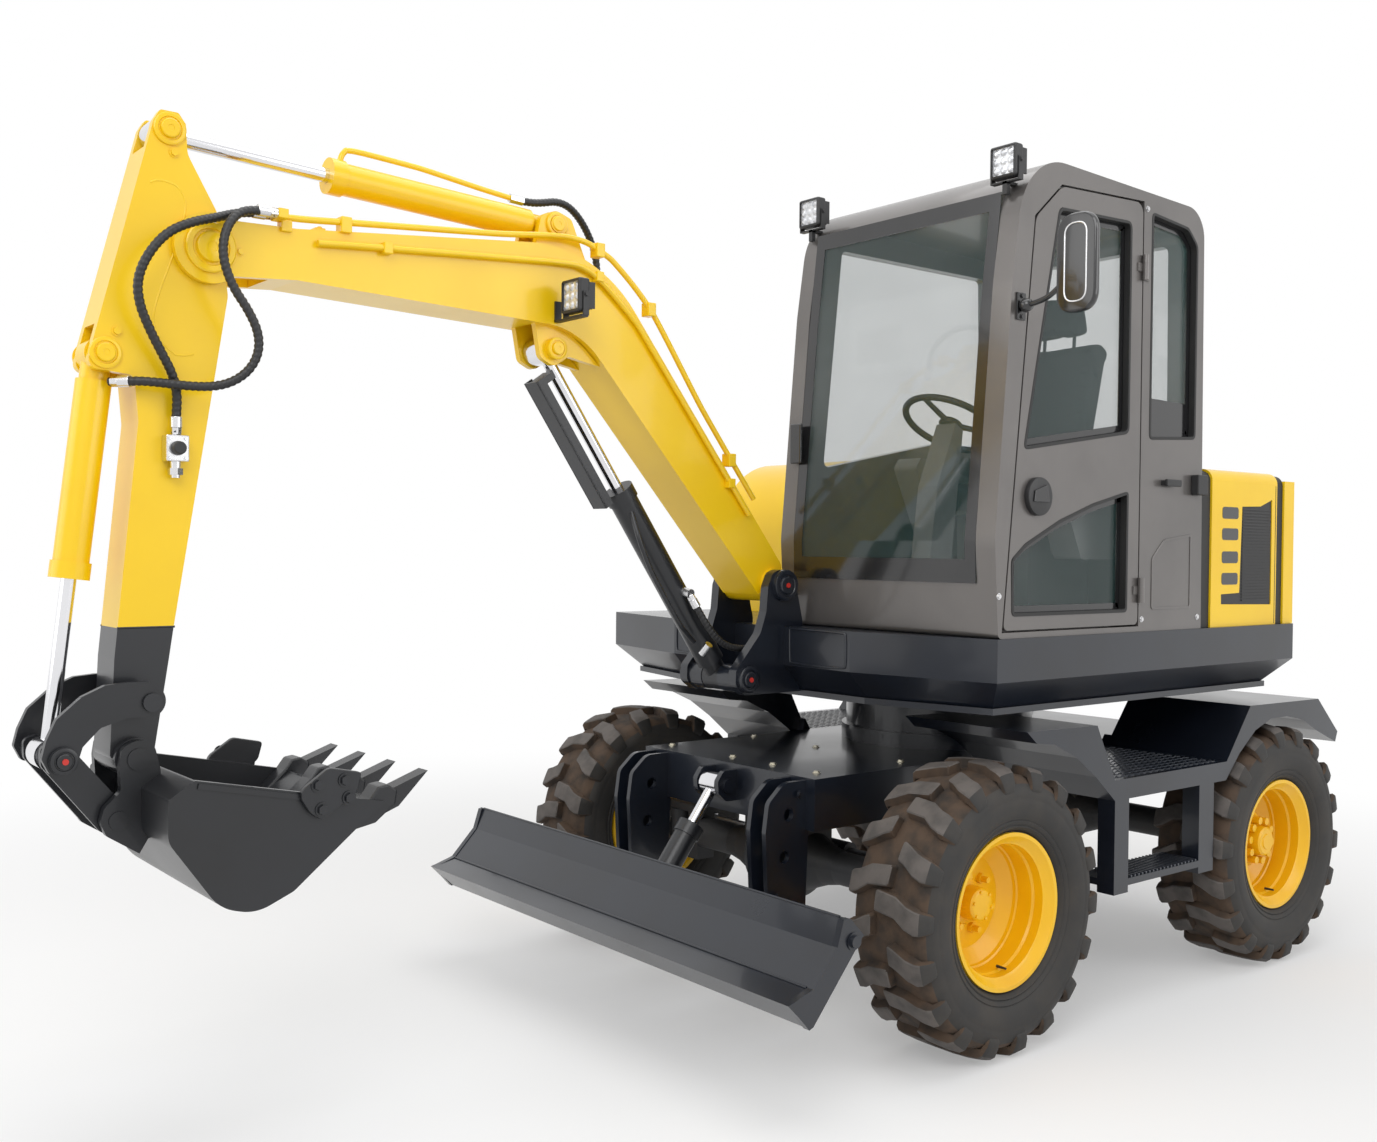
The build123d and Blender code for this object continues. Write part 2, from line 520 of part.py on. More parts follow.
EAR_OUTLINE = [(958, 1250), (958, 1400), (990, 1524), (1056, 1600), (1110, 1578), (1132, 1530), (1140, 1437),
               (1167, 1359), (1234, 1283), (1284, 1227), (1286, 1170), (1240, 1136), (958, 1136)]
with BuildPart() as upper_frame:
    extrude(to_extrude=platform_outline(0, SKIRT_BOTTOM), amount=PLATFORM_TOP - SKIRT_BOTTOM)
    add(loft([platform_outline(SKIRT_INSET, FLANGE_TOP).face(), platform_outline(0, SKIRT_BOTTOM).face()], mode=Mode.PRIVATE))
    extrude(to_extrude=platform_outline(SKIRT_INSET - 10, PLATFORM_FLOOR), amount=FLANGE_TOP - PLATFORM_FLOOR)
    for side in (1, -1):
        low, high = sorted((side * EAR_Y, side * EAR_OUTER))
        slab(EAR_OUTLINE, low, high, radius=[0, 0, 30, 50, 30, 30, 40, 60, 40, 30, 30, 20, 0])
        low, high = sorted((side * (EYE_HALF_WIDTH + SIDE_GAP), side * (EAR_OUTER + 8)))
        disc(BOOM_CYL_BASE, 50, low, high)
        low, high = sorted((side * EAR_OUTER, side * (EAR_OUTER + 14)))
        disc(FOOT, 58, low, high)
    disc(FOOT, FOOT_PIN_RADIUS, -EAR_OUTER, EAR_OUTER)
    disc(BOOM_CYL_BASE, CYL_PIN_RADIUS, -EAR_OUTER, EAR_OUTER)
save(upper_frame, "upper_frame")

# Cab shell with its openings; columns are X, Z
CAB_OUTLINE = [(CAB_REAR_X, PLATFORM_TOP + SEAT_GAP), (930, PLATFORM_TOP + SEAT_GAP), (952, 1700), (880, 2550),
               (816, 2984), (-262, 2956)]
CAB_RADII = [0, 20, 300, 300, 240, 110]
CAB_INSIDE = [(-232, 1430), (880, 1430), (902, 1700), (832, 2546), (770, 2932), (-212, 2908)]
DOOR_OUTLINE = [(904, 1407), (760, 2776), (619, 2899), (DOOR_REAR_X, 2922), (DOOR_REAR_X, 1407)]
HINGE_X = DOOR_REAR_X - DOOR_GAP / 2
HINGE_Y = CAB_LEFT + HINGE_RADIUS
DOOR_UPPER = [(813, 2001), (635, 2829), (209, 2846), (209, 2090)]
DOOR_LOWER = [(862, 1452), (868, 1640), (795, 1694), (611, 1775), (423, 1836), (209, 1886), (209, 1452)]
QUARTER_WINDOW = [(85, 2900), (-156, 2880), (-222, 2821), (-222, 2093), (85, 2076)]
RIGHT_WINDOW = [(780, 1980), (690, 2830), (-190, 2830), (-210, 2110), (120, 2110)]


def grown(points, amount):
    """Outline moved outwards by an amount, as a list of corners."""
    with BuildSketch() as face:
        with BuildLine():
            Polyline(*points, close=True)
        make_face()
        offset(amount=amount, kind=Kind.INTERSECTION)
    wire = face.sketch.faces()[0].outer_wire()
    return [(corner.X, corner.Y) for corner in (edge.position_at(0) for edge in wire.order_edges())]


def hinge_half(direction, height, bottom, top):
    """Leaf and knuckle of a door hinge between two heights, its leaf laid forwards (1) or rearwards (-1)."""
    near, far = sorted((HINGE_X, HINGE_X + direction * 3 * HINGE_RADIUS))
    if direction > 0:
        near = HINGE_X + HINGE_PIN_RADIUS
    else:
        far = HINGE_X - HINGE_PIN_RADIUS
    block(near, far, CAB_LEFT, CAB_LEFT + HINGE_LEAF, height + bottom, height + top)
    upright(HINGE_X, HINGE_Y, HINGE_RADIUS, height + bottom, height + top)


WINDSHIELD_LOW = 1560.0
WINDSHIELD_HIGH = 2860.0
WINDSHIELD_RIGHT = 100.0
WINDSHIELD_LEFT = 970.0
REAR_WINDOW = [(150, 2080), (930, 2080), (930, 2840), (150, 2840)]
with BuildPart() as cab_shell:
    slab(CAB_OUTLINE, CAB_RIGHT, CAB_LEFT, radius=CAB_RADII)
    slab(CAB_INSIDE, CAB_RIGHT + CAB_WALL, CAB_LEFT - CAB_WALL, radius=[0, 20, 260, 260, 190, 80], mode=Mode.SUBTRACT)
    slab(grown(DOOR_OUTLINE, DOOR_GAP), CAB_LEFT - CAB_WALL - 10, CAB_LEFT + 10, mode=Mode.SUBTRACT)
    slab(QUARTER_WINDOW, CAB_LEFT - CAB_WALL - 10, CAB_LEFT + 10, radius=24, mode=Mode.SUBTRACT)
    slab(RIGHT_WINDOW, CAB_RIGHT - 10, CAB_RIGHT + CAB_WALL + 10, radius=24, mode=Mode.SUBTRACT)
    block(700, 1000, WINDSHIELD_RIGHT, WINDSHIELD_LEFT, WINDSHIELD_LOW, WINDSHIELD_HIGH, mode=Mode.SUBTRACT)
    extrude(to_extrude=profile(front_plane(CAB_REAR_X - 20), REAR_WINDOW, 30), amount=CAB_WALL + 60, mode=Mode.SUBTRACT)
    third = HINGE_HALF_HEIGHT / 3
    for hinge_z in HINGE_HEIGHTS:
        hinge_half(-1, hinge_z, -HINGE_HALF_HEIGHT, -third)
        hinge_half(-1, hinge_z, third, HINGE_HALF_HEIGHT)
        upright(HINGE_X, HINGE_Y, HINGE_PIN_RADIUS, hinge_z - HINGE_HALF_HEIGHT, hinge_z + HINGE_HALF_HEIGHT)
save(cab_shell, "cab_shell")

with BuildPart() as cab_door:
    slab(DOOR_OUTLINE, CAB_LEFT - CAB_WALL, CAB_LEFT, radius=[20, 60, 60, 40, 20])
    slab(DOOR_UPPER, CAB_LEFT - CAB_WALL - 10, CAB_LEFT + 10, radius=30, mode=Mode.SUBTRACT)
    slab(DOOR_LOWER, CAB_LEFT - CAB_WALL - 10, CAB_LEFT + 10, radius=20, mode=Mode.SUBTRACT)
    disc((740, 1850), 62, CAB_LEFT, CAB_LEFT + 18)
    for hinge_z in HINGE_HEIGHTS:
        hinge_half(1, hinge_z, PIN_GAP - third, third - PIN_GAP)
        upright(HINGE_X, HINGE_Y, HINGE_PIN_RADIUS + PIN_GAP, hinge_z - third, hinge_z + third, mode=Mode.SUBTRACT)
save(cab_door, "cab_door")

with BuildPart() as door_glass:
    glass_outer = CAB_LEFT - CAB_WALL / 2
    for pane, pane_radius in ((DOOR_UPPER, 30), (DOOR_LOWER, 20)):
        slab(grown(pane, -PANE_GAP), glass_outer - GLASS, glass_outer, radius=pane_radius)
save(door_glass, "door_glass")

with BuildPart() as windshield:
    slab([(946, WINDSHIELD_LOW + PANE_GAP), (950, 1700), (881, 2500), (839, WINDSHIELD_HIGH - PANE_GAP),
          (832, WINDSHIELD_HIGH - PANE_GAP), (874, 2500), (943, 1700), (939, WINDSHIELD_LOW + PANE_GAP)],
         WINDSHIELD_RIGHT + PANE_GAP, WINDSHIELD_LEFT - PANE_GAP)
save(windshield, "windshield")

with BuildPart() as cab_windows:
    slab(grown(QUARTER_WINDOW, -PANE_GAP), glass_outer - GLASS, glass_outer, radius=24)
    right_glass = CAB_RIGHT + CAB_WALL / 2
    slab(grown(RIGHT_WINDOW, -PANE_GAP), right_glass, right_glass + GLASS, radius=24)
    extrude(to_extrude=profile(front_plane(CAB_REAR_X + 18), grown(REAR_WINDOW, -PANE_GAP), 30), amount=GLASS)
save(cab_windows, "cab_windows")

# Cab inside
SEAT_MIDDLE = 540.0
FLOOR_Z = 1430.0
COLUMN_TOP = (582.0, 2122.0)
tilt_sin = math.sin(math.radians(30))
tilt_cos = math.cos(math.radians(30))
with BuildPart() as controls:
    block(-40, 330, SEAT_MIDDLE - 170, SEAT_MIDDLE + 170, FLOOR_Z + SEAT_GAP, 1800)
    for side in (1, -1):
        low, high = sorted((SEAT_MIDDLE + side * 262, SEAT_MIDDLE + side * 380))
        slab([(-40, 1640), (300, 1640), (470, 1990), (440, 2030), (330, 2010), (150, 1960), (-40, 1950)], low, high, radius=20)
        low, high = sorted((SEAT_MIDDLE + side * 150, SEAT_MIDDLE + side * 270))
        block(60, 200, low, high, 1660, 1720)
    column_head = [(COLUMN_TOP[0] + reach * tilt_cos + SEAT_GAP * tilt_sin, COLUMN_TOP[1] + reach * tilt_sin - SEAT_GAP * tilt_cos)
                   for reach in (24, -24)]
    slab([(640, FLOOR_Z + SEAT_GAP), (760, FLOOR_Z + SEAT_GAP), (700, 1900), *column_head],
         SEAT_MIDDLE - 45, SEAT_MIDDLE + 45)
save(controls, "controls")

with BuildPart() as steering_wheel:
    wheel_plane = Plane(origin=(COLUMN_TOP[0], SEAT_MIDDLE, COLUMN_TOP[1]), x_dir=(0, 1, 0), z_dir=(-tilt_sin, 0, tilt_cos))
    with BuildSketch(wheel_plane) as wheel_face:
        Circle(190)
        Circle(164, mode=Mode.SUBTRACT)
        Rectangle(340, 44)
        Circle(46)
    extrude(to_extrude=wheel_face.sketch, amount=24)
save(steering_wheel, "steering_wheel")

with BuildPart() as seat:
    block(-30, 470, SEAT_MIDDLE - 240, SEAT_MIDDLE + 240, 1800 + SEAT_GAP, 1930)
    slab([(-30, 1860), (80, 1860), (10, 2480), (-70, 2500), (-130, 2460)], SEAT_MIDDLE - 225, SEAT_MIDDLE + 225, radius=30)
    slab([(-62, 2490), (-10, 2490), (-20, 2690), (-100, 2690), (-112, 2520)], SEAT_MIDDLE - 130, SEAT_MIDDLE + 130, radius=16)
save(seat, "seat")

# Hood shell, seals, louvred panel, side cover, counterweight and the engine
with BuildPart() as hood:
    block(HOOD_REAR_X, HOOD_FRONT_X, HOOD_RIGHT, HOOD_LEFT, PLATFORM_TOP + SEAT_GAP, HOOD_TOP)
    block(HOOD_REAR_X - 10, HOOD_FRONT_X + 10, HOOD_RIGHT + HOOD_WALL, HOOD_LEFT - HOOD_WALL, PLATFORM_TOP - 10,
          HOOD_TOP - HOOD_WALL, mode=Mode.SUBTRACT)
    GRILLE_OUTLINE = [(-583, 1851), (-722, 1855), (-812, 1884), (-813, 1461), (-436, 1468), (-435, 1507), (-569, 1511)]
    slab(GRILLE_OUTLINE, HOOD_LEFT - HOOD_WALL - 10, HOOD_LEFT + 10, mode=Mode.SUBTRACT)
    edges_up = hood.edges().filter_by(Axis.X).group_by(Axis.Z)[-1]
    fillet(edges_up, HOOD_WALL * 2.5)
save(hood, "hood")

with BuildPart() as grille:
    slab(grown(GRILLE_OUTLINE, -PANE_GAP), HOOD_LEFT - HOOD_WALL, HOOD_LEFT - 4)
save(grille, "grille")

with BuildPart() as hood_seals:
    for seal_from, seal_to, seal_drop in ((HOOD_FRONT_X + SEAT_GAP, SEAL_FRONT_X, 8), (SEAL_REAR_X, HOOD_REAR_X - SEAT_GAP, 8)):
        with BuildSketch(front_plane(seal_from)) as seal_face:
            with BuildLine():
                FilletPolyline((HOOD_RIGHT + seal_drop, PLATFORM_TOP + SEAT_GAP), (HOOD_RIGHT + seal_drop, HOOD_TOP - seal_drop),
                               (HOOD_LEFT - seal_drop, HOOD_TOP - seal_drop), (HOOD_LEFT - seal_drop, PLATFORM_TOP + SEAT_GAP),
                               radius=[1, 40, 40, 1], close=True)
            make_face()
        extrude(to_extrude=seal_face.sketch, amount=seal_to - seal_from)
        block(seal_from - 10, seal_to + 10, HOOD_RIGHT + 60, HOOD_LEFT - 60, PLATFORM_TOP - 10, HOOD_TOP - 60, mode=Mode.SUBTRACT)
save(hood_seals, "hood_seals")

with BuildPart() as side_cover:
    slab([(SEAL_FRONT_X + SEAT_GAP, PLATFORM_TOP + SEAT_GAP), (SIDE_COVER_FRONT_X, PLATFORM_TOP + SEAT_GAP),
          (SIDE_COVER_FRONT_X, SIDE_COVER_TOP), (SEAL_FRONT_X + SEAT_GAP, SIDE_COVER_TOP)],
         HOOD_RIGHT, SIDE_COVER_LEFT, radius=[0, 0, 340, 60])
save(side_cover, "side_cover")

with BuildPart() as counterweight:
    with BuildSketch(Plane.XY.offset(PLATFORM_TOP + SEAT_GAP)) as weight_plan:
        with BuildLine():
            Polyline((-989, HOOD_LEFT), (SEAL_REAR_X - SEAT_GAP, HOOD_LEFT), (SEAL_REAR_X - SEAT_GAP, HOOD_RIGHT), (-989, HOOD_RIGHT))
            ThreePointArc((-989, HOOD_RIGHT), (TAIL_X, 0), (-989, HOOD_LEFT))
        make_face()
    extrude(to_extrude=weight_plan.sketch, amount=HOOD_TOP - PLATFORM_TOP - 30)
save(counterweight, "counterweight")

with BuildPart() as engine:
    block(-800, -400, -560, 520, PLATFORM_TOP + SEAT_GAP, 1900)
save(engine, "engine")

# Lamps and mirror on the cab
LAMP_SIZE = (90.0, 148.0, 130.0)
LAMP_X = 790.0
LAMP_Z = 2878.0
MIRROR_X = 836.0
MIRROR_RIGHT = 1204.0
MIRROR_LEFT = 1353.0
MIRROR_Z = 2577.0
MIRROR_HALF_HEIGHT = 157.0
with BuildPart() as work_lamps:
    for lamp_y in (990.0, 70.0):
        block(LAMP_X, LAMP_X + LAMP_SIZE[0], lamp_y - LAMP_SIZE[1] / 2, lamp_y + LAMP_SIZE[1] / 2, LAMP_Z, LAMP_Z + LAMP_SIZE[2])
        block(LAMP_X - 80, LAMP_X + 24, lamp_y - 20, lamp_y + 20, LAMP_Z - 40, LAMP_Z + 40)
    slab(CAB_OUTLINE, CAB_RIGHT - 100, CAB_LEFT + 100, radius=CAB_RADII, spread=SEAT_GAP, mode=Mode.SUBTRACT)
save(work_lamps, "work_lamps")

with BuildPart() as mirror:
    block(MIRROR_X, MIRROR_X + 28, MIRROR_RIGHT, MIRROR_LEFT, MIRROR_Z - MIRROR_HALF_HEIGHT, MIRROR_Z + MIRROR_HALF_HEIGHT)
    block(MIRROR_X - 4, MIRROR_X + 20, CAB_LEFT + SEAT_GAP, MIRROR_RIGHT + 10, 2474, 2498)
save(mirror, "mirror")

# Boom; columns are X, Z
BOOM_OUTLINE = [(1127, 1498), (1935, 2391), (2910, 2426), (3130, 2410), (3240, 2484), (3150, 2566), (2911, 2573),
                (1868, 2676), (1000, 1592)]
CYL_EAR_PLATE = 24.0
POCKET = [(1850, 2290), (1885, 2400), (1925, 2466), (2040, 2466), (2090, 2400), (2090, 2290)]
SLOT_RADIUS = 172.0
with BuildPart() as boom:
    slab(BOOM_OUTLINE, -BOOM_HALF_WIDTH, BOOM_HALF_WIDTH, radius=[0, 300, 0, 40, 60, 40, 0, 480, 30])
    disc(FOOT, 62, -FOOT_HALF_WIDTH, FOOT_HALF_WIDTH)
    disc(ARM_PIVOT, 98, -BOOM_HALF_WIDTH, BOOM_HALF_WIDTH)
    for side in (1, -1):
        ear_near = side * (EYE_SLOT_HALF + 4)
        low, high = sorted((ear_near, ear_near + side * CYL_EAR_PLATE))
        slab([(1890, 2330), (2050, 2440), (2110, 2420), (2089, 2393), (2069, 2287), (2015, 2262), (1959, 2300), (1832, 2277)],
             low, high, radius=[0, 0, 0, 0, 30, 30, 20, 0])
        low, high = sorted((ear_near + side * CYL_EAR_PLATE, ear_near + side * (CYL_EAR_PLATE + 16)))
        disc(BOOM_CYL_EYE, 36, low, high)
        low, high = sorted((side * (EYE_SLOT_HALF + 1), side * (EYE_SLOT_HALF + 1 + CYL_EAR_PLATE)))
        slab([(2100, 2600), (2067, 2754), (2009, 2776), (1950, 2756), (1880, 2600)], low, high, radius=[0, 24, 40, 24, 0])
    disc(ARM_CYL_BASE, CYL_PIN_RADIUS, -EYE_SLOT_HALF - 40, EYE_SLOT_HALF + 40)
    disc(FOOT, FOOT_PIN_RADIUS + PIN_GAP, -FOOT_HALF_WIDTH - 10, FOOT_HALF_WIDTH + 10, mode=Mode.SUBTRACT)
    slab(POCKET, -EYE_SLOT_HALF - 4, EYE_SLOT_HALF + 4, mode=Mode.SUBTRACT)
    block(ARM_PIVOT[0] - SLOT_RADIUS, ARM_PIVOT[0] + 200, -ARM_HALF_WIDTH - SIDE_GAP, ARM_HALF_WIDTH + SIDE_GAP, 2300, 2700,
          mode=Mode.SUBTRACT)
    disc(ARM_PIVOT, ARM_PIN_RADIUS, -BOOM_HALF_WIDTH - 16, BOOM_HALF_WIDTH + 16)
save(boom, "boom")

with BuildPart() as boom_lamp:
    block(1950, 2070, 160, 250, 2418, 2530)
    block(1990, 2030, BOOM_HALF_WIDTH + SEAT_GAP, 170, 2440, 2470)
save(boom_lamp, "boom_lamp")

# Arm; columns are X, Z
ARM_OUTLINE = [(3220, 2815), (3215, 2734), (3133, 2588), (3102, 2360), (3158, 2009), (3249, 1440), (3262, 1351), (3300, 1104),
               (3357, 1042), (3416, 1095), (3405, 1357), (3397, 1440), (3344, 1996), (3355, 2118), (3471, 2130), (3471, 2162),
               (3306, 2812), (3289, 2842), (3240, 2842)]
with BuildPart() as arm:
    slab(ARM_OUTLINE, -ARM_HALF_WIDTH, ARM_HALF_WIDTH, radius=[0, 60, 60, 60, 0, 0, 0, 0, 50, 20, 0, 0, 60, 20, 24, 20, 20, 10, 10])
    disc(BUCKET_PIVOT, 54, -ARM_BOSS_HALF, ARM_BOSS_HALF)
    disc(SIDE_LINK_PIVOT, 44, -SIDE_LINK_INNER + SIDE_GAP, SIDE_LINK_INNER - SIDE_GAP)
    disc(SIDE_LINK_PIVOT, LINK_PIN_RADIUS, -SIDE_LINK_INNER - SIDE_LINK_PLATE - 10, SIDE_LINK_INNER + SIDE_LINK_PLATE + 10)
    slab([(3100, 2660), (3190, 2700), (3330, 2742), (3400, 2742), (3400, 2900), (3100, 2900)],
         -EYE_SLOT_HALF - 4, EYE_SLOT_HALF + 4, mode=Mode.SUBTRACT)
    slab([(3366, 2250), (3600, 2250), (3600, 2000), (3366, 2060)], -EYE_SLOT_HALF, EYE_SLOT_HALF, mode=Mode.SUBTRACT)
    disc(BUCKET_CYL_BASE, CYL_PIN_RADIUS - 3, -ARM_HALF_WIDTH - 8, ARM_HALF_WIDTH + 8)
    disc(ARM_PIVOT, ARM_PIN_RADIUS + PIN_GAP, -ARM_HALF_WIDTH - 10, ARM_HALF_WIDTH + 10, mode=Mode.SUBTRACT)
    disc(BUCKET_PIVOT, LINK_PIN_RADIUS + 5 + PIN_GAP, -ARM_BOSS_HALF - 10, ARM_BOSS_HALF + 10, mode=Mode.SUBTRACT)
save(arm, "arm")

# Curved side links beside the arm; columns are X, Z
SIDE_LINK_OUTLINE = [(3394, 1301), (3335, 1300), (3296, 1257), (3322, 1205), (3393, 1208), (3462, 1186), (3506, 1140),
                     (3518, 1100), (3545, 1071), (3585, 1075), (3605, 1116), (3594, 1162), (3570, 1215), (3508, 1270), (3451, 1296)]
with BuildPart() as side_links:
    for side in (1, -1):
        low, high = sorted((side * SIDE_LINK_INNER, side * (SIDE_LINK_INNER + SIDE_LINK_PLATE)))
        slab(SIDE_LINK_OUTLINE, low, high, radius=14)
        disc(SIDE_LINK_PIVOT, LINK_PIN_RADIUS + PIN_GAP, low - 5, high + 5, mode=Mode.SUBTRACT)
        low, high = sorted((side * (TIP_LINK_OUTER + SIDE_GAP), side * (SIDE_LINK_INNER + SIDE_LINK_PLATE + 12)))
        disc(LINK_EYE, 36, low, high)
save(side_links, "side_links")

with BuildPart() as tipping_link:
    for side in (1, -1):
        low, high = sorted((side * TIP_LINK_INNER, side * TIP_LINK_OUTER))
        slab([(3562, 1150), (3516, 1128), (3371, 950), (3380, 900), (3444, 900), (3592, 1090), (3594, 1140)], low, high, radius=18)
        low, high = sorted((side * EYE_SLOT_HALF, side * TIP_LINK_OUTER))
        disc(LINK_EYE, 34, low, high)
    disc(BUCKET_LINK, LINK_PIN_RADIUS + 9, -TIP_LINK_OUTER, TIP_LINK_OUTER)
    disc(BUCKET_LINK, LINK_PIN_RADIUS + PIN_GAP, -TIP_LINK_OUTER - 10, TIP_LINK_OUTER + 10, mode=Mode.SUBTRACT)
save(tipping_link, "tipping_link")

# Bucket: bent shell between two side plates, ears, four teeth; columns are X, Z
BUCKET_OUTLINE = [(3284, 1058), (2744, 945), (2836, 880), (3017, 732), (3122, 688), (3218, 716), (3351, 905), (3351, 1014)]
BUCKET_RADII = [10, 4, 10, 60, 120, 120, 60, 10]
BUCKET_HOLLOW = [(3262, 1200), (2700, 1100), (2780, 948), (2848, 899), (3028, 751), (3122, 710), (3204, 734), (3332, 914),
                 (3332, 998), (3284, 1032)]
EAR_PLATE = [(3300, 1060), (3316, 1126), (3357, 1146), (3400, 1126), (3407, 1080), (3403, 1010), (3445, 970), (3455, 933),
             (3440, 896), (3355, 839), (3300, 930)]
TOOTH = [(2608, 1018), (2700, 925), (2836, 874), (2848, 902), (2780, 962), (2735, 972)]
with BuildPart() as bucket:
    slab(BUCKET_OUTLINE, -BUCKET_HALF_WIDTH, BUCKET_HALF_WIDTH, radius=BUCKET_RADII)
    slab(BUCKET_HOLLOW, BUCKET_SIDE - BUCKET_HALF_WIDTH, BUCKET_HALF_WIDTH - BUCKET_SIDE, mode=Mode.SUBTRACT)
    for side in (1, -1):
        low, high = sorted((side * BUCKET_EAR_INNER, side * (BUCKET_EAR_INNER + BUCKET_EAR)))
        slab(EAR_PLATE, low, high, radius=[0, 30, 40, 30, 10, 20, 20, 30, 20, 0, 0])
    disc(BUCKET_PIVOT, LINK_PIN_RADIUS + 5, -BUCKET_EAR_INNER - BUCKET_EAR - 4, BUCKET_EAR_INNER + BUCKET_EAR + 4)
    disc(BUCKET_LINK, LINK_PIN_RADIUS, -BUCKET_EAR_INNER - BUCKET_EAR - 4, BUCKET_EAR_INNER + BUCKET_EAR + 4)
    tooth_pitch = (2 * BUCKET_HALF_WIDTH - 90) / (TOOTH_COUNT - 1)
    for tooth in range(TOOTH_COUNT):
        tooth_y = -BUCKET_HALF_WIDTH + 45 + tooth * tooth_pitch
        slab(TOOTH, tooth_y - 28, tooth_y + 28)
save(bucket, "bucket")
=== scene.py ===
"""Looks of a compact wheeled excavator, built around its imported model.

Sizes are in millimetres about the swing axis, x forward, y to the left, z up from the
ground, unless a docstring says metres. Shop.at() turns them into metres in the frame of
the model.
"""

from __future__ import annotations

import json
import logging
import math
from contextlib import contextmanager
from dataclasses import dataclass
from enum import Enum
from typing import Iterable, Iterator, Sequence

import bpy
from mathutils import Matrix, Vector

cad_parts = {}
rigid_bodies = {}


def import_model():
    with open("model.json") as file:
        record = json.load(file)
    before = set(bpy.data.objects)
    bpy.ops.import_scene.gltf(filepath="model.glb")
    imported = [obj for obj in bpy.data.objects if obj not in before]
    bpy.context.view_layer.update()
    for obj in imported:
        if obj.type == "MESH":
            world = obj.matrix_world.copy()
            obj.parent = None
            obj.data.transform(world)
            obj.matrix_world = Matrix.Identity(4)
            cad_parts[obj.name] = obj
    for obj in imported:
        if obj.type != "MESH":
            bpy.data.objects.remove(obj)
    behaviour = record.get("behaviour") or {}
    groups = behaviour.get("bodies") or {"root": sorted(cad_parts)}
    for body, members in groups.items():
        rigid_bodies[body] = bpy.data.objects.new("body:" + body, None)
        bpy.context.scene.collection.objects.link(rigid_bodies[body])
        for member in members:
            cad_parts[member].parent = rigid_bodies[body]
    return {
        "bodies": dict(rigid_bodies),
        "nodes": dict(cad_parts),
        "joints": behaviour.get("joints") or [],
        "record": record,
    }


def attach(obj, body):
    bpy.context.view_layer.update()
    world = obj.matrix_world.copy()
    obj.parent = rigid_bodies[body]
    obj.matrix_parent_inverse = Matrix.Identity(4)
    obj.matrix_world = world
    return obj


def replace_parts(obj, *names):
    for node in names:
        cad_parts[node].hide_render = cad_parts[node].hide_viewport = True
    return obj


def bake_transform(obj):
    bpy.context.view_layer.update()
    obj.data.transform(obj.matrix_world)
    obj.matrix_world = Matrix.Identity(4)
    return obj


LOG = logging.getLogger("excavator")
IMAGE_WIDTH = 1377.0
MM = 1000.0
MERGE = 0.00002

Point2 = tuple[float, float]
Point3 = tuple[float, float, float]
Colour = tuple[float, float, float]
Inputs = dict[str | int, object]
Piece = bpy.types.Object


class Side(Enum):
    """Side of the machine, as the sign of its y."""

    LEFT = 1
    RIGHT = -1


class Graph:
    """A node tree whose nodes get their constants and links in one call."""

    def __init__(self, tree: bpy.types.NodeTree) -> None:
        """Keep the tree."""
        self.tree = tree

    def node(self, kind: str, inputs: Inputs | None = None, **settings: object) -> bpy.types.Node:
        """Add a node.

        Args:
            kind: Type of the node.
            inputs: For an input, by name or number, its constant or the socket that feeds it.
            settings: The node's own settings.

        Returns:
            The new node.
        """
        node = self.tree.nodes.new(kind)
        for name, value in settings.items():
            setattr(node, name, value)
        self.feed(node, inputs or {})
        return node

    def feed(self, node: bpy.types.Node, inputs: Inputs) -> None:
        """Set or link inputs of a node."""
        for name, value in inputs.items():
            if isinstance(value, bpy.types.NodeSocket):
                self.tree.links.new(value, node.inputs[name])
            else:
                node.inputs[name].default_value = value

    def place(self) -> bpy.types.NodeSocket:
        """Give the socket of the object's own coordinates."""
        return self.node("ShaderNodeTexCoord").outputs["Object"]


def blank_material(name: str) -> tuple[bpy.types.Material, Graph, bpy.types.Node]:
    """Start a material and give it with its graph and its shader."""
    material = bpy.data.materials.new(name)
    material.use_nodes = True
    tree = material.node_tree
    return material, Graph(tree), tree.nodes["Principled BSDF"]


@dataclass(frozen=True)
class Finish:
    """A surface: its colour with slow mottling, its gloss and its fine grain."""

    name: str
    colour: Colour
    shade: Colour
    roughness: float
    metallic: float = 0.0
    coat: float = 0.0
    mottle_scale: float = 3.0
    grain_scale: float = 220.0
    grain: float = 0.04
    grain_depth: float = 0.0006
    rough_spread: float = 0.06
    coat_roughness: float = 0.08
    mottle_from: float = 0.42
    mottle_to: float = 0.68

    def build(self) -> bpy.types.Material:
        """Make the material with its node tree."""
        material, graph, shader = blank_material(self.name)
        place = graph.place()
        cloud = graph.node("ShaderNodeTexNoise", {"Vector": place, "Scale": self.mottle_scale, "Detail": 6.0})
        value = cloud.outputs["Fac"]
        share = graph.node("ShaderNodeMapRange", {
            "Value": value, "From Min": self.mottle_from, "From Max": self.mottle_to})
        blend = graph.node("ShaderNodeMix", {
            "A": (*self.colour, 1.0), "B": (*self.shade, 1.0), "Factor": share.outputs["Result"]},
                           data_type="RGBA")
        gloss = graph.node("ShaderNodeMapRange", {
            "Value": value, "To Min": self.roughness - self.rough_spread,
                                                  "To Max": self.roughness + self.rough_spread})
        skin = graph.node("ShaderNodeTexNoise", {"Vector": place, "Scale": self.grain_scale, "Detail": 3.0})
        bump = graph.node("ShaderNodeBump", {
            "Strength": self.grain, "Distance": self.grain_depth, "Height": skin.outputs["Fac"]})
        graph.feed(shader, {
            "Metallic": self.metallic, "Coat Weight": self.coat, "Coat Roughness": self.coat_roughness,
            "Base Color": blend.outputs["Result"], "Roughness": gloss.outputs["Result"],
            "Normal": bump.outputs["Normal"]})
        return material


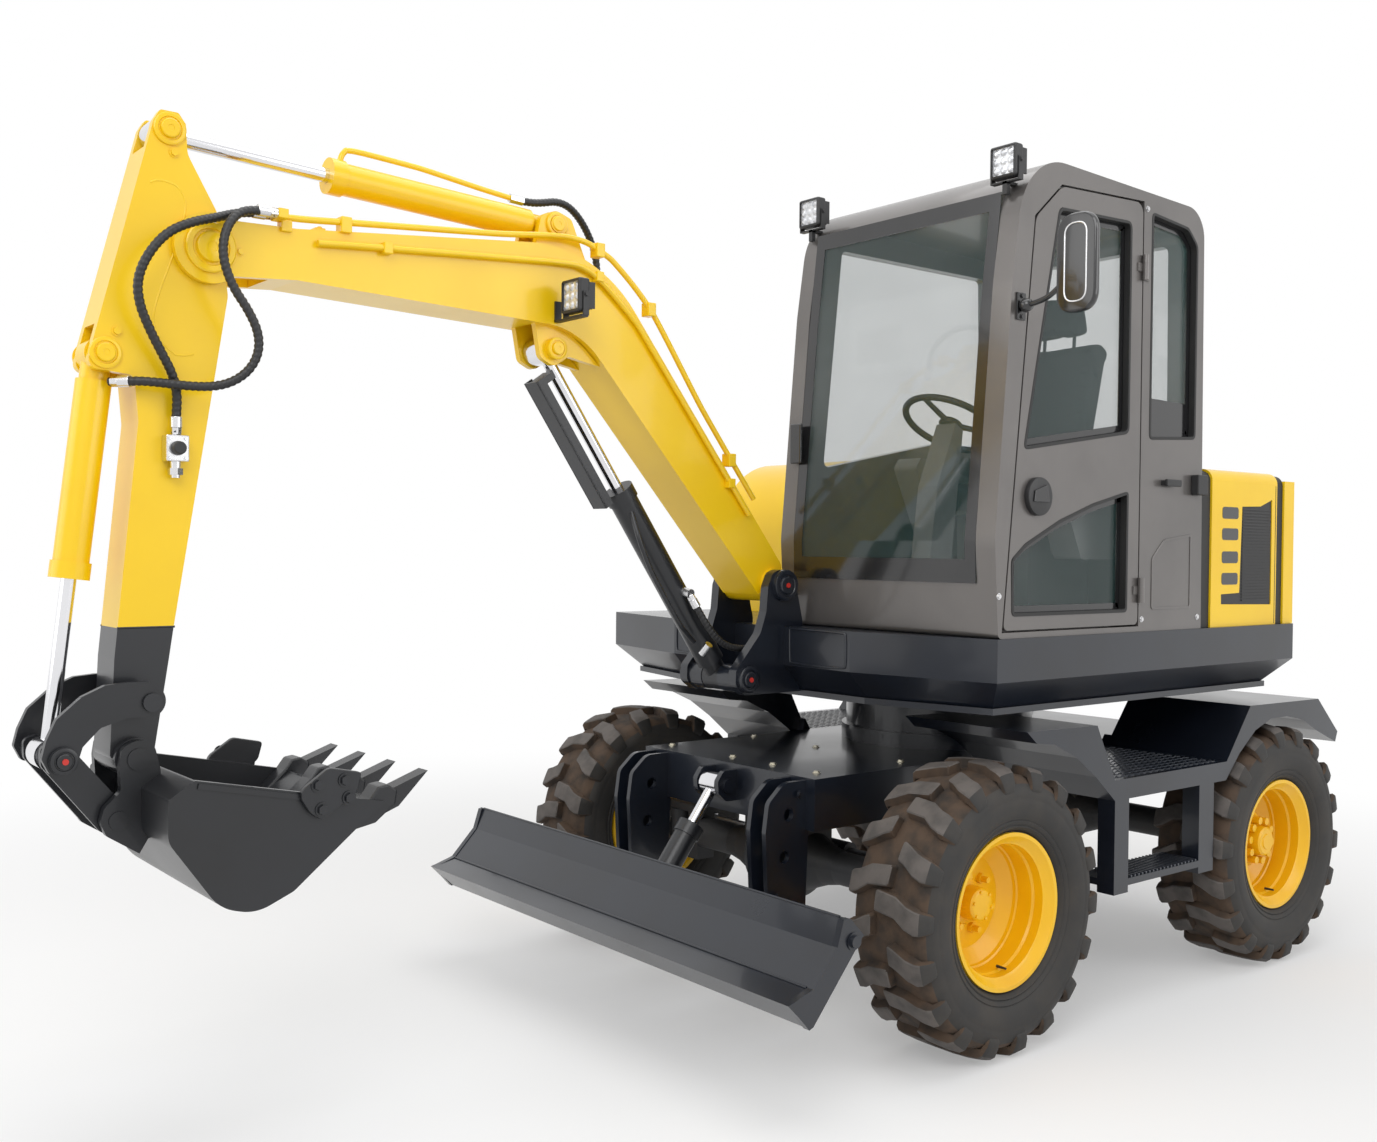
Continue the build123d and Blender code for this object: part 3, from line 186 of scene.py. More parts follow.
@dataclass(frozen=True)
class TwoTone:
    """A paint that changes to another below a height, with a sharp masked edge."""

    name: str
    upper: Finish
    lower: Finish
    height: float

    def build(self) -> bpy.types.Material:
        """Make the upper finish, then paint its lower part."""
        material = self.upper.build()
        material.name = self.name
        graph = Graph(material.node_tree)
        shader = graph.tree.nodes["Principled BSDF"]
        colour = shader.inputs["Base Color"].links[0].from_socket
        split = graph.node("ShaderNodeSeparateXYZ", {"Vector": graph.place()})
        below = graph.node("ShaderNodeMath", {0: split.outputs["Z"], 1: self.height}, operation="LESS_THAN")
        mask = graph.node("ShaderNodeMix", {
            "B": (*self.lower.colour, 1.0), "Factor": below.outputs["Value"], "A": colour}, data_type="RGBA")
        graph.feed(shader, {"Base Color": mask.outputs["Result"]})
        return material


@dataclass(frozen=True)
class Glazing:
    """Clear safety glass, more opaque at a slant, as its reflections grow."""

    name: str
    tint: Colour
    clear: float
    slanted: float = 0.62
    slant_blend: float = 0.14
    dust_scale: float = 2.2

    def build(self) -> bpy.types.Material:
        """Make the material with its node tree."""
        material, graph, shader = blank_material(self.name)
        edge = graph.node("ShaderNodeLayerWeight", {"Blend": self.slant_blend})
        slant = graph.node("ShaderNodeMapRange", {
            "Value": edge.outputs["Fresnel"], "To Min": self.clear, "To Max": self.slanted})
        dust = graph.node("ShaderNodeTexNoise", {"Vector": graph.place(), "Scale": self.dust_scale})
        haze = graph.node("ShaderNodeMapRange", {"Value": dust.outputs["Fac"], "To Min": -0.03,
                                                 "To Max": 0.05})
        total = graph.node("ShaderNodeMath", {0: slant.outputs["Result"], 1: haze.outputs["Result"]},
                           operation="ADD")
        graph.feed(shader, {
            "Base Color": (*self.tint, 1.0), "Roughness": 0.03, "Specular IOR Level": 1.0, "Coat Weight": 1.0,
            "Coat Roughness": 0.02, "Alpha": total.outputs["Value"]})
        return material


Paint = Finish | TwoTone | Glazing


YELLOW = Finish("yellow_enamel", (0.90, 0.58, 0.002), (0.86, 0.54, 0.002), 0.32, coat=0.25)
# Darker, more orange copy of the yellow enamel: painted shade of the inside of the wheel.
RIM_YELLOW_SHADED = Finish("rim_enamel", (0.90, 0.53, 0.002), (0.84, 0.46, 0.002), 0.38, coat=0.2)
NAVY = Finish("frame_enamel", (0.0085, 0.0115, 0.0190), (0.0060, 0.0075, 0.0120), 0.30, coat=0.35)
TOOL = Finish("tool_enamel", (0.0090, 0.0100, 0.0130), (0.0060, 0.0065, 0.0080), 0.38, coat=0.15)
CAB = Finish("cab_metallic", (0.150, 0.140, 0.134), (0.128, 0.120, 0.115), 0.34, metallic=0.45, coat=0.4,
             grain_scale=900.0)
CAST = Finish("cast_housing", (0.020, 0.021, 0.024), (0.035, 0.033, 0.030), 0.55, grain=0.25)
STEEL = Finish("bright_steel", (0.52, 0.52, 0.53), (0.40, 0.40, 0.41), 0.32, metallic=1.0)
CHROME = Finish("chromed_rod", (0.80, 0.80, 0.82), (0.72, 0.72, 0.74), 0.12, metallic=1.0, grain=0.0,
                rough_spread=0.03)
SEAL = Finish("black_seal", (0.012, 0.012, 0.012), (0.018, 0.018, 0.018), 0.60, grain=0.12)
PLASTIC = Finish("black_plastic", (0.016, 0.016, 0.017), (0.022, 0.022, 0.023), 0.48, grain=0.3,
                 grain_scale=500.0)
CONSOLE = Finish("grey_plastic", (0.20, 0.20, 0.20), (0.16, 0.16, 0.16), 0.55, grain=0.3, grain_scale=500.0)
CLOTH = Finish("seat_cloth", (0.030, 0.031, 0.034), (0.050, 0.051, 0.055), 0.85, grain=0.7, grain_scale=700.0)
SIDEWALL = Finish("tyre_sidewall", (0.020, 0.019, 0.018), (0.034, 0.030, 0.026), 0.68, grain=0.25,
                  mottle_scale=9.0)
LUG_TOP = Finish("tyre_lug_top", (0.105, 0.092, 0.084), (0.060, 0.054, 0.050), 0.74, grain=0.5,
                 mottle_scale=14.0)
LUG_SIDE = Finish("tyre_dusty_groove", (0.072, 0.045, 0.028), (0.030, 0.023, 0.018), 0.85, grain=0.6,
                  mottle_scale=16.0)
HOSE = Finish("hose_rubber", (0.012, 0.012, 0.013), (0.020, 0.020, 0.021), 0.45, grain=0.2)
GLASS = Glazing("tinted_glass", (0.060, 0.120, 0.115), 0.16)
LENS = Finish("lamp_reflector", (0.75, 0.76, 0.78), (0.50, 0.51, 0.54), 0.22, metallic=0.4, mottle_scale=60.0)
MASK = Finish("black_glass_mask", (0.010, 0.010, 0.011), (0.016, 0.016, 0.017), 0.16, coat=0.6, grain=0.0)
MIRROR_BACK = Finish("mirror_shell", (0.012, 0.012, 0.013), (0.020, 0.020, 0.021), 0.22, coat=0.5)
TREAD_PLATE = Finish("worn_tread_plate", (0.030, 0.036, 0.050), (0.070, 0.076, 0.090), 0.32, metallic=0.3,
                     coat=0.2, mottle_scale=6.0)
GALVANISED = Finish("plated_screw", (0.60, 0.56, 0.44), (0.45, 0.43, 0.36), 0.30, metallic=0.9)
FERRULE = Finish("hose_ferrule", (0.70, 0.70, 0.71), (0.55, 0.55, 0.56), 0.26, metallic=1.0)
RED_CAP = Finish("red_plastic", (0.55, 0.03, 0.02), (0.45, 0.02, 0.015), 0.40)
ARM_PAINT = TwoTone("arm_two_tone", YELLOW, TOOL, 1.440)


class Shop:
    """The workshop: places in the machine's frame, finishes, and ways to shape a piece."""

    def __init__(self) -> None:
        """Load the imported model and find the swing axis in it."""
        self.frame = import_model()
        joints = {row["name"]: row for row in self.frame["record"]["behaviour"]["joints"]}
        swing = joints["swing"]["pos_m"]
        self.axis = Vector((swing[0], swing[1], 0.0))
        self.finishes: dict[str, bpy.types.Material] = {}

    def at(self, x: float, y: float, z: float) -> Vector:
        """Turn millimetres about the swing axis into metres in the model's frame."""
        return self.axis + Vector((x, y, z)) / MM

    def material(self, finish: Paint) -> bpy.types.Material:
        """Give the material of a finish, made at its first use."""
        if finish.name not in self.finishes:
            self.finishes[finish.name] = finish.build()
        return self.finishes[finish.name]

    def dress(self, node: str, finish: Paint) -> None:
        """Assign a finish to the slots of a CAD node."""
        piece = self.frame["nodes"][node]
        if not piece.material_slots:
            piece.data.materials.append(None)
        for slot in piece.material_slots:
            slot.material = self.material(finish)

    def coat(self, piece: Piece, *finishes: Paint) -> None:
        """Give a piece one material slot for each of these finishes."""
        piece.data.materials.clear()
        for finish in finishes:
            piece.data.materials.append(self.material(finish))

    def clear(self) -> None:
        """Leave edit mode and deselect everything."""
        if bpy.context.object and bpy.context.object.mode != "OBJECT":
            bpy.ops.object.mode_set(mode="OBJECT")
        bpy.ops.object.select_all(action="DESELECT")

    def pick(self, *pieces: Piece) -> None:
        """Select these pieces only, with the first one active."""
        self.clear()
        for piece in pieces:
            piece.select_set(True)
        bpy.context.view_layer.objects.active = pieces[0]

    @contextmanager
    def editing(self, piece: Piece) -> Iterator[None]:
        """Open a piece in edit mode with all of it selected, and close it afterwards."""
        self.pick(piece)
        bpy.ops.object.mode_set(mode="EDIT")
        bpy.ops.mesh.select_all(action="SELECT")
        yield
        bpy.ops.object.mode_set(mode="OBJECT")

    def settle(self, piece: Piece) -> Piece:
        """Put a piece's place into its mesh."""
        self.pick(piece)
        bpy.ops.object.transform_apply(location=True, rotation=True, scale=True)
        return piece

    def modify(self, piece: Piece, kind: str, **settings: object) -> Piece:
        """Add a modifier with its settings and apply it."""
        self.pick(piece)
        step = piece.modifiers.new(kind.lower(), kind)
        for name, value in settings.items():
            setattr(step, name, value)
        bpy.ops.object.modifier_apply(modifier=step.name)
        return piece

    def row(self, piece: Piece, count: int, step: Point3) -> Piece:
        """Repeat a piece in a row, with a step in metres."""
        return self.modify(piece, "ARRAY", count=count, use_relative_offset=False, use_constant_offset=True,
                           constant_offset_displace=step)

    def bevel(self, piece: Piece, width: float, segments: int = 2,
              angle: float = 35.0) -> Piece:
        """Round a piece's edges that are sharper than an angle.

        Args:
            piece: The mesh to round.
            width: Width of the bevel in mm.
            segments: Rows of faces across it.
            angle: Smallest turn, in degrees, of an edge that is rounded.

        Returns:
            The same piece.
        """
        return self.modify(piece, "BEVEL", width=width / MM, segments=segments, limit_method="ANGLE",
                           angle_limit=math.radians(angle), harden_normals=False)

    def smooth(self, piece: Piece, angle: float = 35.0) -> Piece:
        """Shade a piece smooth up to an angle in degrees."""
        self.pick(piece)
        bpy.ops.object.shade_smooth_by_angle(angle=math.radians(angle))
        return piece

    def tidy_normals(self, piece: Piece) -> Piece:
        """Merge doubles and turn every face outwards."""
        with self.editing(piece):
            bpy.ops.mesh.remove_doubles(threshold=MERGE)
            bpy.ops.mesh.delete_loose()
            bpy.ops.mesh.select_all(action="SELECT")
            bpy.ops.mesh.normals_make_consistent(inside=False)
        return piece

    def outlined(self, name: str, points: Sequence[Vector], fill: str = "NGON") -> Piece:
        """Make a closed outline through points in metres.

        Args:
            name: Name of the piece.
            points: The outline's corners in order.
            fill: NGON for a face, NOTHING for the bare outline.

        Returns:
            The flat piece.
        """
        self.clear()
        bpy.ops.mesh.primitive_circle_add(vertices=len(points), radius=1.0, fill_type=fill,
                                          location=(0, 0, 0))
        piece = bpy.context.object
        piece.name = name
        for vertex, point in zip(piece.data.vertices, points):
            vertex.co = point
        return piece

    def extrude(self, push: Vector | Point3) -> None:
        """Extrude the selection of the piece in edit mode along a push in metres."""
        bpy.ops.mesh.extrude_region_move(TRANSFORM_OT_translate={"value": push})

    def prism(self, name: str, corners: Sequence[Vector], push: Vector) -> Piece:
        """Extrude a flat outline, given by its corners in metres, along a push in metres."""
        piece = self.outlined(name, corners)
        with self.editing(piece):
            self.extrude(push)
        return self.tidy_normals(piece)

    def plate(self, name: str, outline: Sequence[Point2], y_from: float, y_to: float) -> Piece:
        """Make a plate from an outline in (x, z) between two distances to the left."""
        corners = [self.at(x, y_from, z) for x, z in outline]
        return self.prism(name, corners, Vector((0, (y_to - y_from) / MM, 0)))

    def ring_plate(self, name: str, outline: Sequence[Point2], width: float, y_from: float,
                   y_to: float) -> Piece:
        """Make a flat frame that runs round the inside of an outline in (x, z).

        Args:
            name: Name of the piece.
            outline: Corners of its outer edge.
            width: Width of the frame.
            y_from: Distance to the left of its first face.
            y_to: Distance to the left of its last face.

        Returns:
            The closed frame.
        """
        piece = self.outlined(name, [self.at(x, y_from, z) for x, z in outline])
        with self.editing(piece):
            bpy.ops.mesh.inset(thickness=width / MM, use_even_offset=True)
            bpy.ops.mesh.delete(type="ONLY_FACE")
            bpy.ops.mesh.select_all(action="SELECT")
            self.extrude((0, (y_to - y_from) / MM, 0))
        return self.tidy_normals(piece)

    def bolt(self, place: Point3, way: Point3, radius: float, sides: int = 6) -> Piece:
        """Make a washer and a bolt head that stand on a face.

        Args:
            place: Middle of the washer's back.
            way: Unit direction out of the face.
            radius: Radius of the head.
            sides: Sides of the head.

        Returns:
            Both as one mesh.
        """
        def up(height: float) -> Point3:
            """Give the point at a height above the face."""
            return tuple(start + step * height for start, step in zip(place, way))
        washer = self.round_bar("washer", place, up(radius * 0.22), radius * 1.35, 20)
        head = self.round_bar("head", up(radius * 0.2), up(radius * 0.75), radius, sides, radius * 0.94)
        return self.join("bolt", [washer, head])

    def bolts(self, name: str, places: Sequence[Point3], way: Point3, radius: float,
              sides: int = 6) -> Piece:
        """Make a bolt at each place and join them."""
        return self.join(name, [self.bolt(place, way, radius, sides) for place in places])

    def boss(self, x: float, z: float, y: float, side: Side, radius: float, height: float) -> Piece:
        """Make a pin boss with its stepped collar and pin end, standing on a side face.

        Args:
            x: Place of its axis.
            z: Height of its axis.
            y: Distance outwards of the face.
            side: The side that it looks to.
            radius: Radius of its foot.
            height: Height over the face.

        Returns:
            The boss.
        """
        section = [(0.0, 0.0), (radius, 0.0), (radius, height * 0.45), (radius - 4, height * 0.6),
                   (radius * 0.74, height * 0.6), (radius * 0.70, height * 0.4),
                   (radius * 0.62, height * 0.4),
                   (radius * 0.58, height), (radius * 0.52, height + 2.0), (radius * 0.2, height + 2.0),
                   (radius * 0.18, height + 0.5), (0.0, height + 0.5)]
        ring = self.turned("boss", section, self.at(x, side.value * y, z), Vector((0, side.value, 0)), 48)
        return self.smooth(ring, 30.0)

    def slab(self, name: str, low: Point3, high: Point3) -> Piece:
        """Make a box between two corners."""
        self.clear()
        first = self.at(*low)
        last = self.at(*high)
        bpy.ops.mesh.primitive_cube_add(size=1.0, location=(first + last) / 2)
        piece = bpy.context.object
        piece.name = name
        piece.scale = last - first
        return self.settle(piece)

    def side_slab(self, name: str, side: Side, x: Point2, out: Point2, z: Point2) -> Piece:
        """Make a box from its ranges, with the second one measured outwards on a side."""
        low, high = sorted(side.value * reach for reach in out)
        return self.slab(name, (x[0], low, z[0]), (x[1], high, z[1]))

    def side_plate(self, name: str, outline: Sequence[Point2], side: Side, out: Point2) -> Piece:
        """Make a plate from an outline in (x, z) and its range outwards on a side."""
        return self.plate(name, outline, *sorted(side.value * reach for reach in out))

    def round_bar(self, name: str, start: Point3, end: Point3, radius: float, sides: int = 32,
                  tip_radius: float | None = None) -> Piece:
        """Make a round or many-sided bar between two points.

        Args:
            name: Name of the piece.
            start: Middle of its first end.
            end: Middle of its last end.
            radius: Radius at the start.
            sides: Number of its sides.
            tip_radius: Radius at the end, where it differs.

        Returns:
            The bar.
        """
        self.clear()
        first = self.at(*start)
        last = self.at(*end)
        way = last - first
        bpy.ops.mesh.primitive_cone_add(
            vertices=sides, radius1=radius / MM, radius2=(radius if tip_radius is None else tip_radius) / MM,
            depth=way.length, location=(first + last) / 2, rotation=way.to_track_quat("Z", "Y").to_euler())
        piece = bpy.context.object
        piece.name = name
        return self.settle(piece)

    def turned(self, name: str, section: Sequence[Point2], centre: Vector, outward: Vector,
               steps: int = 96) -> Piece:
        """Spin a closed section about an axis.

        Args:
            name: Name of the piece.
            section: Pairs of radius and distance outwards.
            centre: Point on the axis in metres.
            outward: Direction of the axis.
            steps: Steps around.

        Returns:
            The ring or hub.
        """
        out = outward.normalized()
        across = out.orthogonal().normalized()
        points = [centre + across * (radius / MM) + out * (offset / MM) for radius, offset in section]
        piece = self.outlined(name, points, "NOTHING")
        with self.editing(piece):
            bpy.ops.mesh.spin(steps=steps, angle=2 * math.pi, use_auto_merge=True, center=centre, axis=out)
        return self.tidy_normals(piece)

    def join(self, name: str, pieces: Sequence[Piece]) -> Piece:
        """Join pieces into one mesh under a new name."""
        self.pick(*pieces)
        if len(pieces) > 1:
            bpy.ops.object.join()
        joined = bpy.context.view_layer.objects.active
        joined.name = name
        joined.data.name = name
        return joined

    def place(self, piece: Piece, body: str, slot: str, finish: Paint) -> Piece:
        """Give a piece its finish and its body.

        Args:
            piece: The finished mesh or curve.
            body: Name of the CAD body that carries it.
            slot: Material slot of the record; not used.
            finish: Its finish.

        Returns:
            The same piece.
        """
        self.coat(piece, finish)
        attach(piece, body)
        LOG.info("piece %s rides on %s", piece.name, body)
        return piece

    def fit(self, name: str, pieces: Sequence[Piece], body: str, slot: str,
            finish: Paint) -> Piece:
        """Join pieces under a name and place them on a body."""
        return self.place(self.join(name, pieces), body, slot, finish)

    def tube(self, name: str, points: Iterable[Point3], radius: float) -> Piece:
        """Make a round tube along a smooth line through the neighbourhood of its points."""
        curve = bpy.data.curves.new(name, "CURVE")
        curve.dimensions = "3D"
        curve.bevel_depth = radius / MM
        curve.bevel_resolution = 4
        curve.use_fill_caps = True
        curve.resolution_u = 12
        row = [self.at(*point) for point in points]
        spline = curve.splines.new("NURBS")
        spline.points.add(len(row) - 1)
        for node, point in zip(spline.points, row):
            node.co = (*point, 1.0)
        spline.order_u = 3
        spline.use_endpoint_u = True
        piece = bpy.data.objects.new(name, curve)
        bpy.context.scene.collection.objects.link(piece)
        return piece

    def pipe(self, name: str, points: Sequence[Point3], radius: float, bend: float = 40.0) -> Piece:
        """Make a rigid tube of straight runs with a bend near each corner."""
        row = [Vector(point) for point in points]
        guides = [row[0]]
        for before, corner, after in zip(row, row[1:], row[2:]):
            for other in (before, after):
                reach = min(bend, (other - corner).length * 0.45)
                guides.append(corner + (other - corner).normalized() * reach)
        guides.append(row[-1])
        return self.tube(name, [tuple(point) for point in guides], radius)

    def line_of(self, points: Sequence[Point3]) -> list[Vector]:
        """Read the smooth line of a route, in metres."""
        guide = self.tube("route", points, 0.0)
        guide.data.bevel_depth = 0.0
        guide.data.resolution_u = 40
        bpy.context.view_layer.update()
        mesh = bpy.data.meshes.new_from_object(guide)
        line = [vertex.co.copy() for vertex in mesh.vertices]
        bpy.data.objects.remove(guide)
        bpy.data.meshes.remove(mesh)
        return line

    def evenly(self, line: Sequence[Vector], step: float) -> list[Vector]:
        """Space points evenly along a line.

        Args:
            line: Points in metres.
            step: Distance wanted between points, in metres.

        Returns:
            Points along the line, its ends among them.
        """
        total = length_of(line)
        count = max(2, round(total / step))
        spaced = [line[0].copy()]
        walked = 0.0
        for before, after in zip(line, line[1:]):
            run = (after - before).length
            while run > 0 and walked + run >= total * len(spaced) / count - 1e-9 and len(spaced) < count:
                share = (total * len(spaced) / count - walked) / run
                spaced.append(before.lerp(after, share))
            walked += run
        spaced.append(line[-1].copy())
        return spaced

    def wrapped(self, name: str, line: Sequence[Vector], radius: float, ridge: float, pitch: float,
                around: int = 16) -> Piece:
        """Make a hose with a spiral wrap from a grid that is rolled round its line.

        Args:
            name: Name of the piece.
            line: Evenly spaced points in metres.
            radius: Radius over the wrap.
            ridge: Depth of the gap between turns.
            pitch: Distance between turns.
            around: Points round the hose.

        Returns:
            The closed hose.
        """
        self.clear()
        rings = len(line)
        bpy.ops.mesh.primitive_grid_add(x_subdivisions=around, y_subdivisions=rings - 1, size=1.0)
        piece = bpy.context.object
        piece.name = name
        frames = []
        normal = (line[1] - line[0]).orthogonal().normalized()
        walked = 0.0
        for number, point in enumerate(line):
            ahead = (line[min(number + 1, rings - 1)] - line[max(number - 1, 0)]).normalized()
            normal = (normal - ahead * normal.dot(ahead)).normalized()
            if number:
                walked += (point - line[number - 1]).length
            frames.append((point, normal.copy(), ahead.cross(normal), walked * MM))
        for vertex in piece.data.vertices:
            column = round((vertex.co.x + 0.5) * around)
            point, first, second, run = frames[round((vertex.co.y + 0.5) * (rings - 1))]
            angle = 2 * math.pi * (column % around) / around
            wave = 0.5 + 0.5 * math.cos(angle - 2 * math.pi * run / pitch)
            reach = (radius - ridge * (1.0 - wave ** 0.4)) / MM
            vertex.co = point + (first * math.cos(angle) + second * math.sin(angle)) * reach
        with self.editing(piece):
            bpy.ops.mesh.remove_doubles(threshold=MERGE)
            bpy.ops.mesh.select_all(action="DESELECT")
            bpy.ops.mesh.select_non_manifold()
            bpy.ops.mesh.edge_face_add()
            bpy.ops.mesh.select_all(action="SELECT")
            bpy.ops.mesh.normals_make_consistent(inside=False)
        return self.smooth(piece, 50.0)

    def copy(self, piece: Piece, move: Matrix) -> Piece:
        """Copy a piece with its own mesh, moved."""
        twin = piece.copy()
        twin.data = piece.data.copy()
        twin.data.transform(move)
        bpy.context.scene.collection.objects.link(twin)
        return twin


def length_of(line: Sequence[Vector]) -> float:
    """Measure a line through its points."""
    return sum((after - before).length for before, after in zip(line, line[1:]))


@dataclass
class Tyre:
    """An industrial tyre with a bent-bar tread, in the place of its plain solid."""

    name: str
    axle_x: float
    side: Side
    height: float = 482.5
    middle_y: float = 929.0
    radius: float = 482.5
    groove_radius: float = 448.0
    dusty_radius: float = 428.0
    half_width: float = 165.0
    lugs: int = 18
    lug_length: float = 66.0
    lug_draft: float = 9.0
    # Half of the casing's section from the bead outwards: radius, distance from the middle.
    sidewall: tuple[Point2, ...] = (
        (228.3, 98.0), (238.3, 116.6), (265.0, 121.5), (272.0, 137.0), (281.0, 145.0), (286.0, 142.0),
        (291.0, 147.5), (300.0, 151.0), (304.0, 148.5), (309.0, 153.0), (330.0, 160.5), (350.0, 163.5),
        (372.0, 164.8), (378.0, 163.0), (384.0, 164.5), (404.0, 160.0), (424.0, 150.0), (440.0, 136.0),
        (448.0, 118.0), (452.0, 0.0))
    # Stations of a bar: distance across, shift round the tyre, share of its length, drop of its top.
    stations: tuple[tuple[float, float, float, float], ...] = (
        (62.0, 9.0, 1.0, 0.0), (104.0, 34.0, 1.08, -1.5), (136.0, 44.0, 1.12, -5.0),
        (152.0, 46.0, 1.06, -16.0), (162.8, 47.0, 0.94, -46.0), (165.2, 47.0, 0.82, -72.0))

    def centre(self, shop: Shop) -> Vector:
        """Give the middle of the wheel in metres."""
        return shop.at(self.axle_x, self.side.value * self.middle_y, self.height)

    def casing(self, shop: Shop) -> Piece:
        """Spin the casing with its ribbed sidewalls and dusty grooves."""
        section = [*self.sidewall, *((radius, -offset) for radius, offset in reversed(self.sidewall[:-1]))]
        centre = self.centre(shop)
        ring = shop.turned(f"casing_{self.name}", section, centre, Vector((0, self.side.value, 0)), 144)
        shop.smooth(ring, 40.0)
        shop.coat(ring, SIDEWALL, LUG_TOP, LUG_SIDE)
        for face in ring.data.polygons:
            reach = face.center - centre
            if Vector((reach.x, 0.0, reach.z)).length * MM > self.dusty_radius:
                face.material_index = 2
        return ring

    def lug(self, shop: Shop, long_bar: bool) -> Piece:
        """Shape one bar of the tread from a grid that is bent round the casing.

        Args:
            shop: The workshop.
            long_bar: True for a bar that starts past the middle line.

        Returns:
            The bar at the top of the wheel, for the outer half of the tread.
        """
        start = -22.0 if long_bar else 34.0
        rows = [(start, 0.0, 0.92, 0.0), (start + 8.0, 0.5, 1.0, 0.0), *self.stations]
        shop.clear()
        bpy.ops.mesh.primitive_grid_add(x_subdivisions=3, y_subdivisions=len(rows) - 1, size=1.0)
        bar = bpy.context.object
        with shop.editing(bar):
            shop.extrude((0, 0, 1.0))
        centre = self.centre(shop)
        for vertex in bar.data.vertices:
            column = round((vertex.co.x + 0.5) * 3)
            across, shift, width, drop = rows[round((vertex.co.y + 0.5) * (len(rows) - 1))]
            along = (column / 3 - 0.5) * self.lug_length * width
            radius = self.radius + drop - 3.0 * (across / self.half_width) ** 2
            if vertex.co.z < 0.5:
                along *= 1.0 + 2 * self.lug_draft / self.lug_length
                radius = min(self.groove_radius - 4.0, radius - 16.0)
                across -= 12.0 if drop < -10 else 0.0
            angle = (along + shift) / self.radius
            spot = Vector((math.sin(angle) * radius, self.side.value * across, math.cos(angle) * radius))
            vertex.co = centre + spot / MM
        shop.tidy_normals(bar)
        shop.bevel(bar, 3.5, 1, 40.0)
        shop.coat(bar, SIDEWALL, LUG_TOP, LUG_SIDE)
        for face in bar.data.polygons:
            reach = face.center - centre
            out = Vector((reach.x, 0.0, reach.z))
            top = face.normal.dot(out.normalized()) > 0.62 and out.length * MM > self.radius - 26.0
            outside = abs(face.normal.y) > 0.6 and abs(reach.y) * MM > 140.0
            face.material_index = 1 if top else (0 if outside else 2)
        return bar

    def build(self, shop: Shop) -> None:
        """Make the tyre and put it in the place of its solid."""
        centre = self.centre(shop)
        there = Matrix.Translation(centre)
        back = Matrix.Translation(-centre)
        half_turn = there @ Matrix.Rotation(math.pi / self.lugs, 4, "Y")
        half_turn = half_turn @ Matrix.Scale(-1, 4, (0, 1, 0)) @ back
        bars = [self.casing(shop)]
        patterns = [self.lug(shop, True), self.lug(shop, False)]
        for number in range(self.lugs):
            turn = there @ Matrix.Rotation(2 * math.pi * number / self.lugs, 4, "Y") @ back
            bars.append(shop.copy(patterns[number % 2], turn))
            twin = shop.copy(patterns[(number + 1) % 2], turn @ half_turn)
            twin.data.flip_normals()
            bars.append(twin)
        for pattern in patterns:
            bpy.data.objects.remove(pattern)
        tyre = shop.join(f"tread_{self.name}", bars)
        shop.smooth(tyre, 32.0)
        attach(tyre, f"wheel_{self.name}")
        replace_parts(tyre, f"tyre_{self.name}")
        LOG.info("tyre %s", self.name)


@dataclass
class Wheels:
    """All four wheels with the nuts and hub parts on their rims."""

    axle: float = 871.0

    def build(self, shop: Shop) -> None:
        """Make the tyres and rims."""
        for end, place in (("front", self.axle), ("rear", -self.axle)):
            for side in Side:
                name = f"{end}_{side.name.lower()}"
                Tyre(name, place, side).build(shop)
                Rim(name, place, side, end == "rear").build(shop)


def rounded(outline: Sequence[Point2], radius: float, steps: int = 5) -> list[Point2]:
    """Round every corner of an outline.

    Args:
        outline: Corners in order, in mm.
        radius: Radius of the corners in mm.
        steps: Points on each corner.

    Returns:
        The corners of the rounded outline.
    """
    made = []
    count = len(outline)
    for number in range(count):
        corner = Vector(outline[number])
        back = Vector(outline[number - 1]) - corner
        ahead = Vector(outline[(number + 1) % count]) - corner
        reach = min(radius, back.length * 0.45, ahead.length * 0.45)
        first = corner + back.normalized() * reach
        last = corner + ahead.normalized() * reach
        for step in range(steps + 1):
            share = step / steps
            spot = first * (1 - share) ** 2 + corner * 2 * share * (1 - share) + last * share ** 2
            made.append((spot.x, spot.y))
    return made


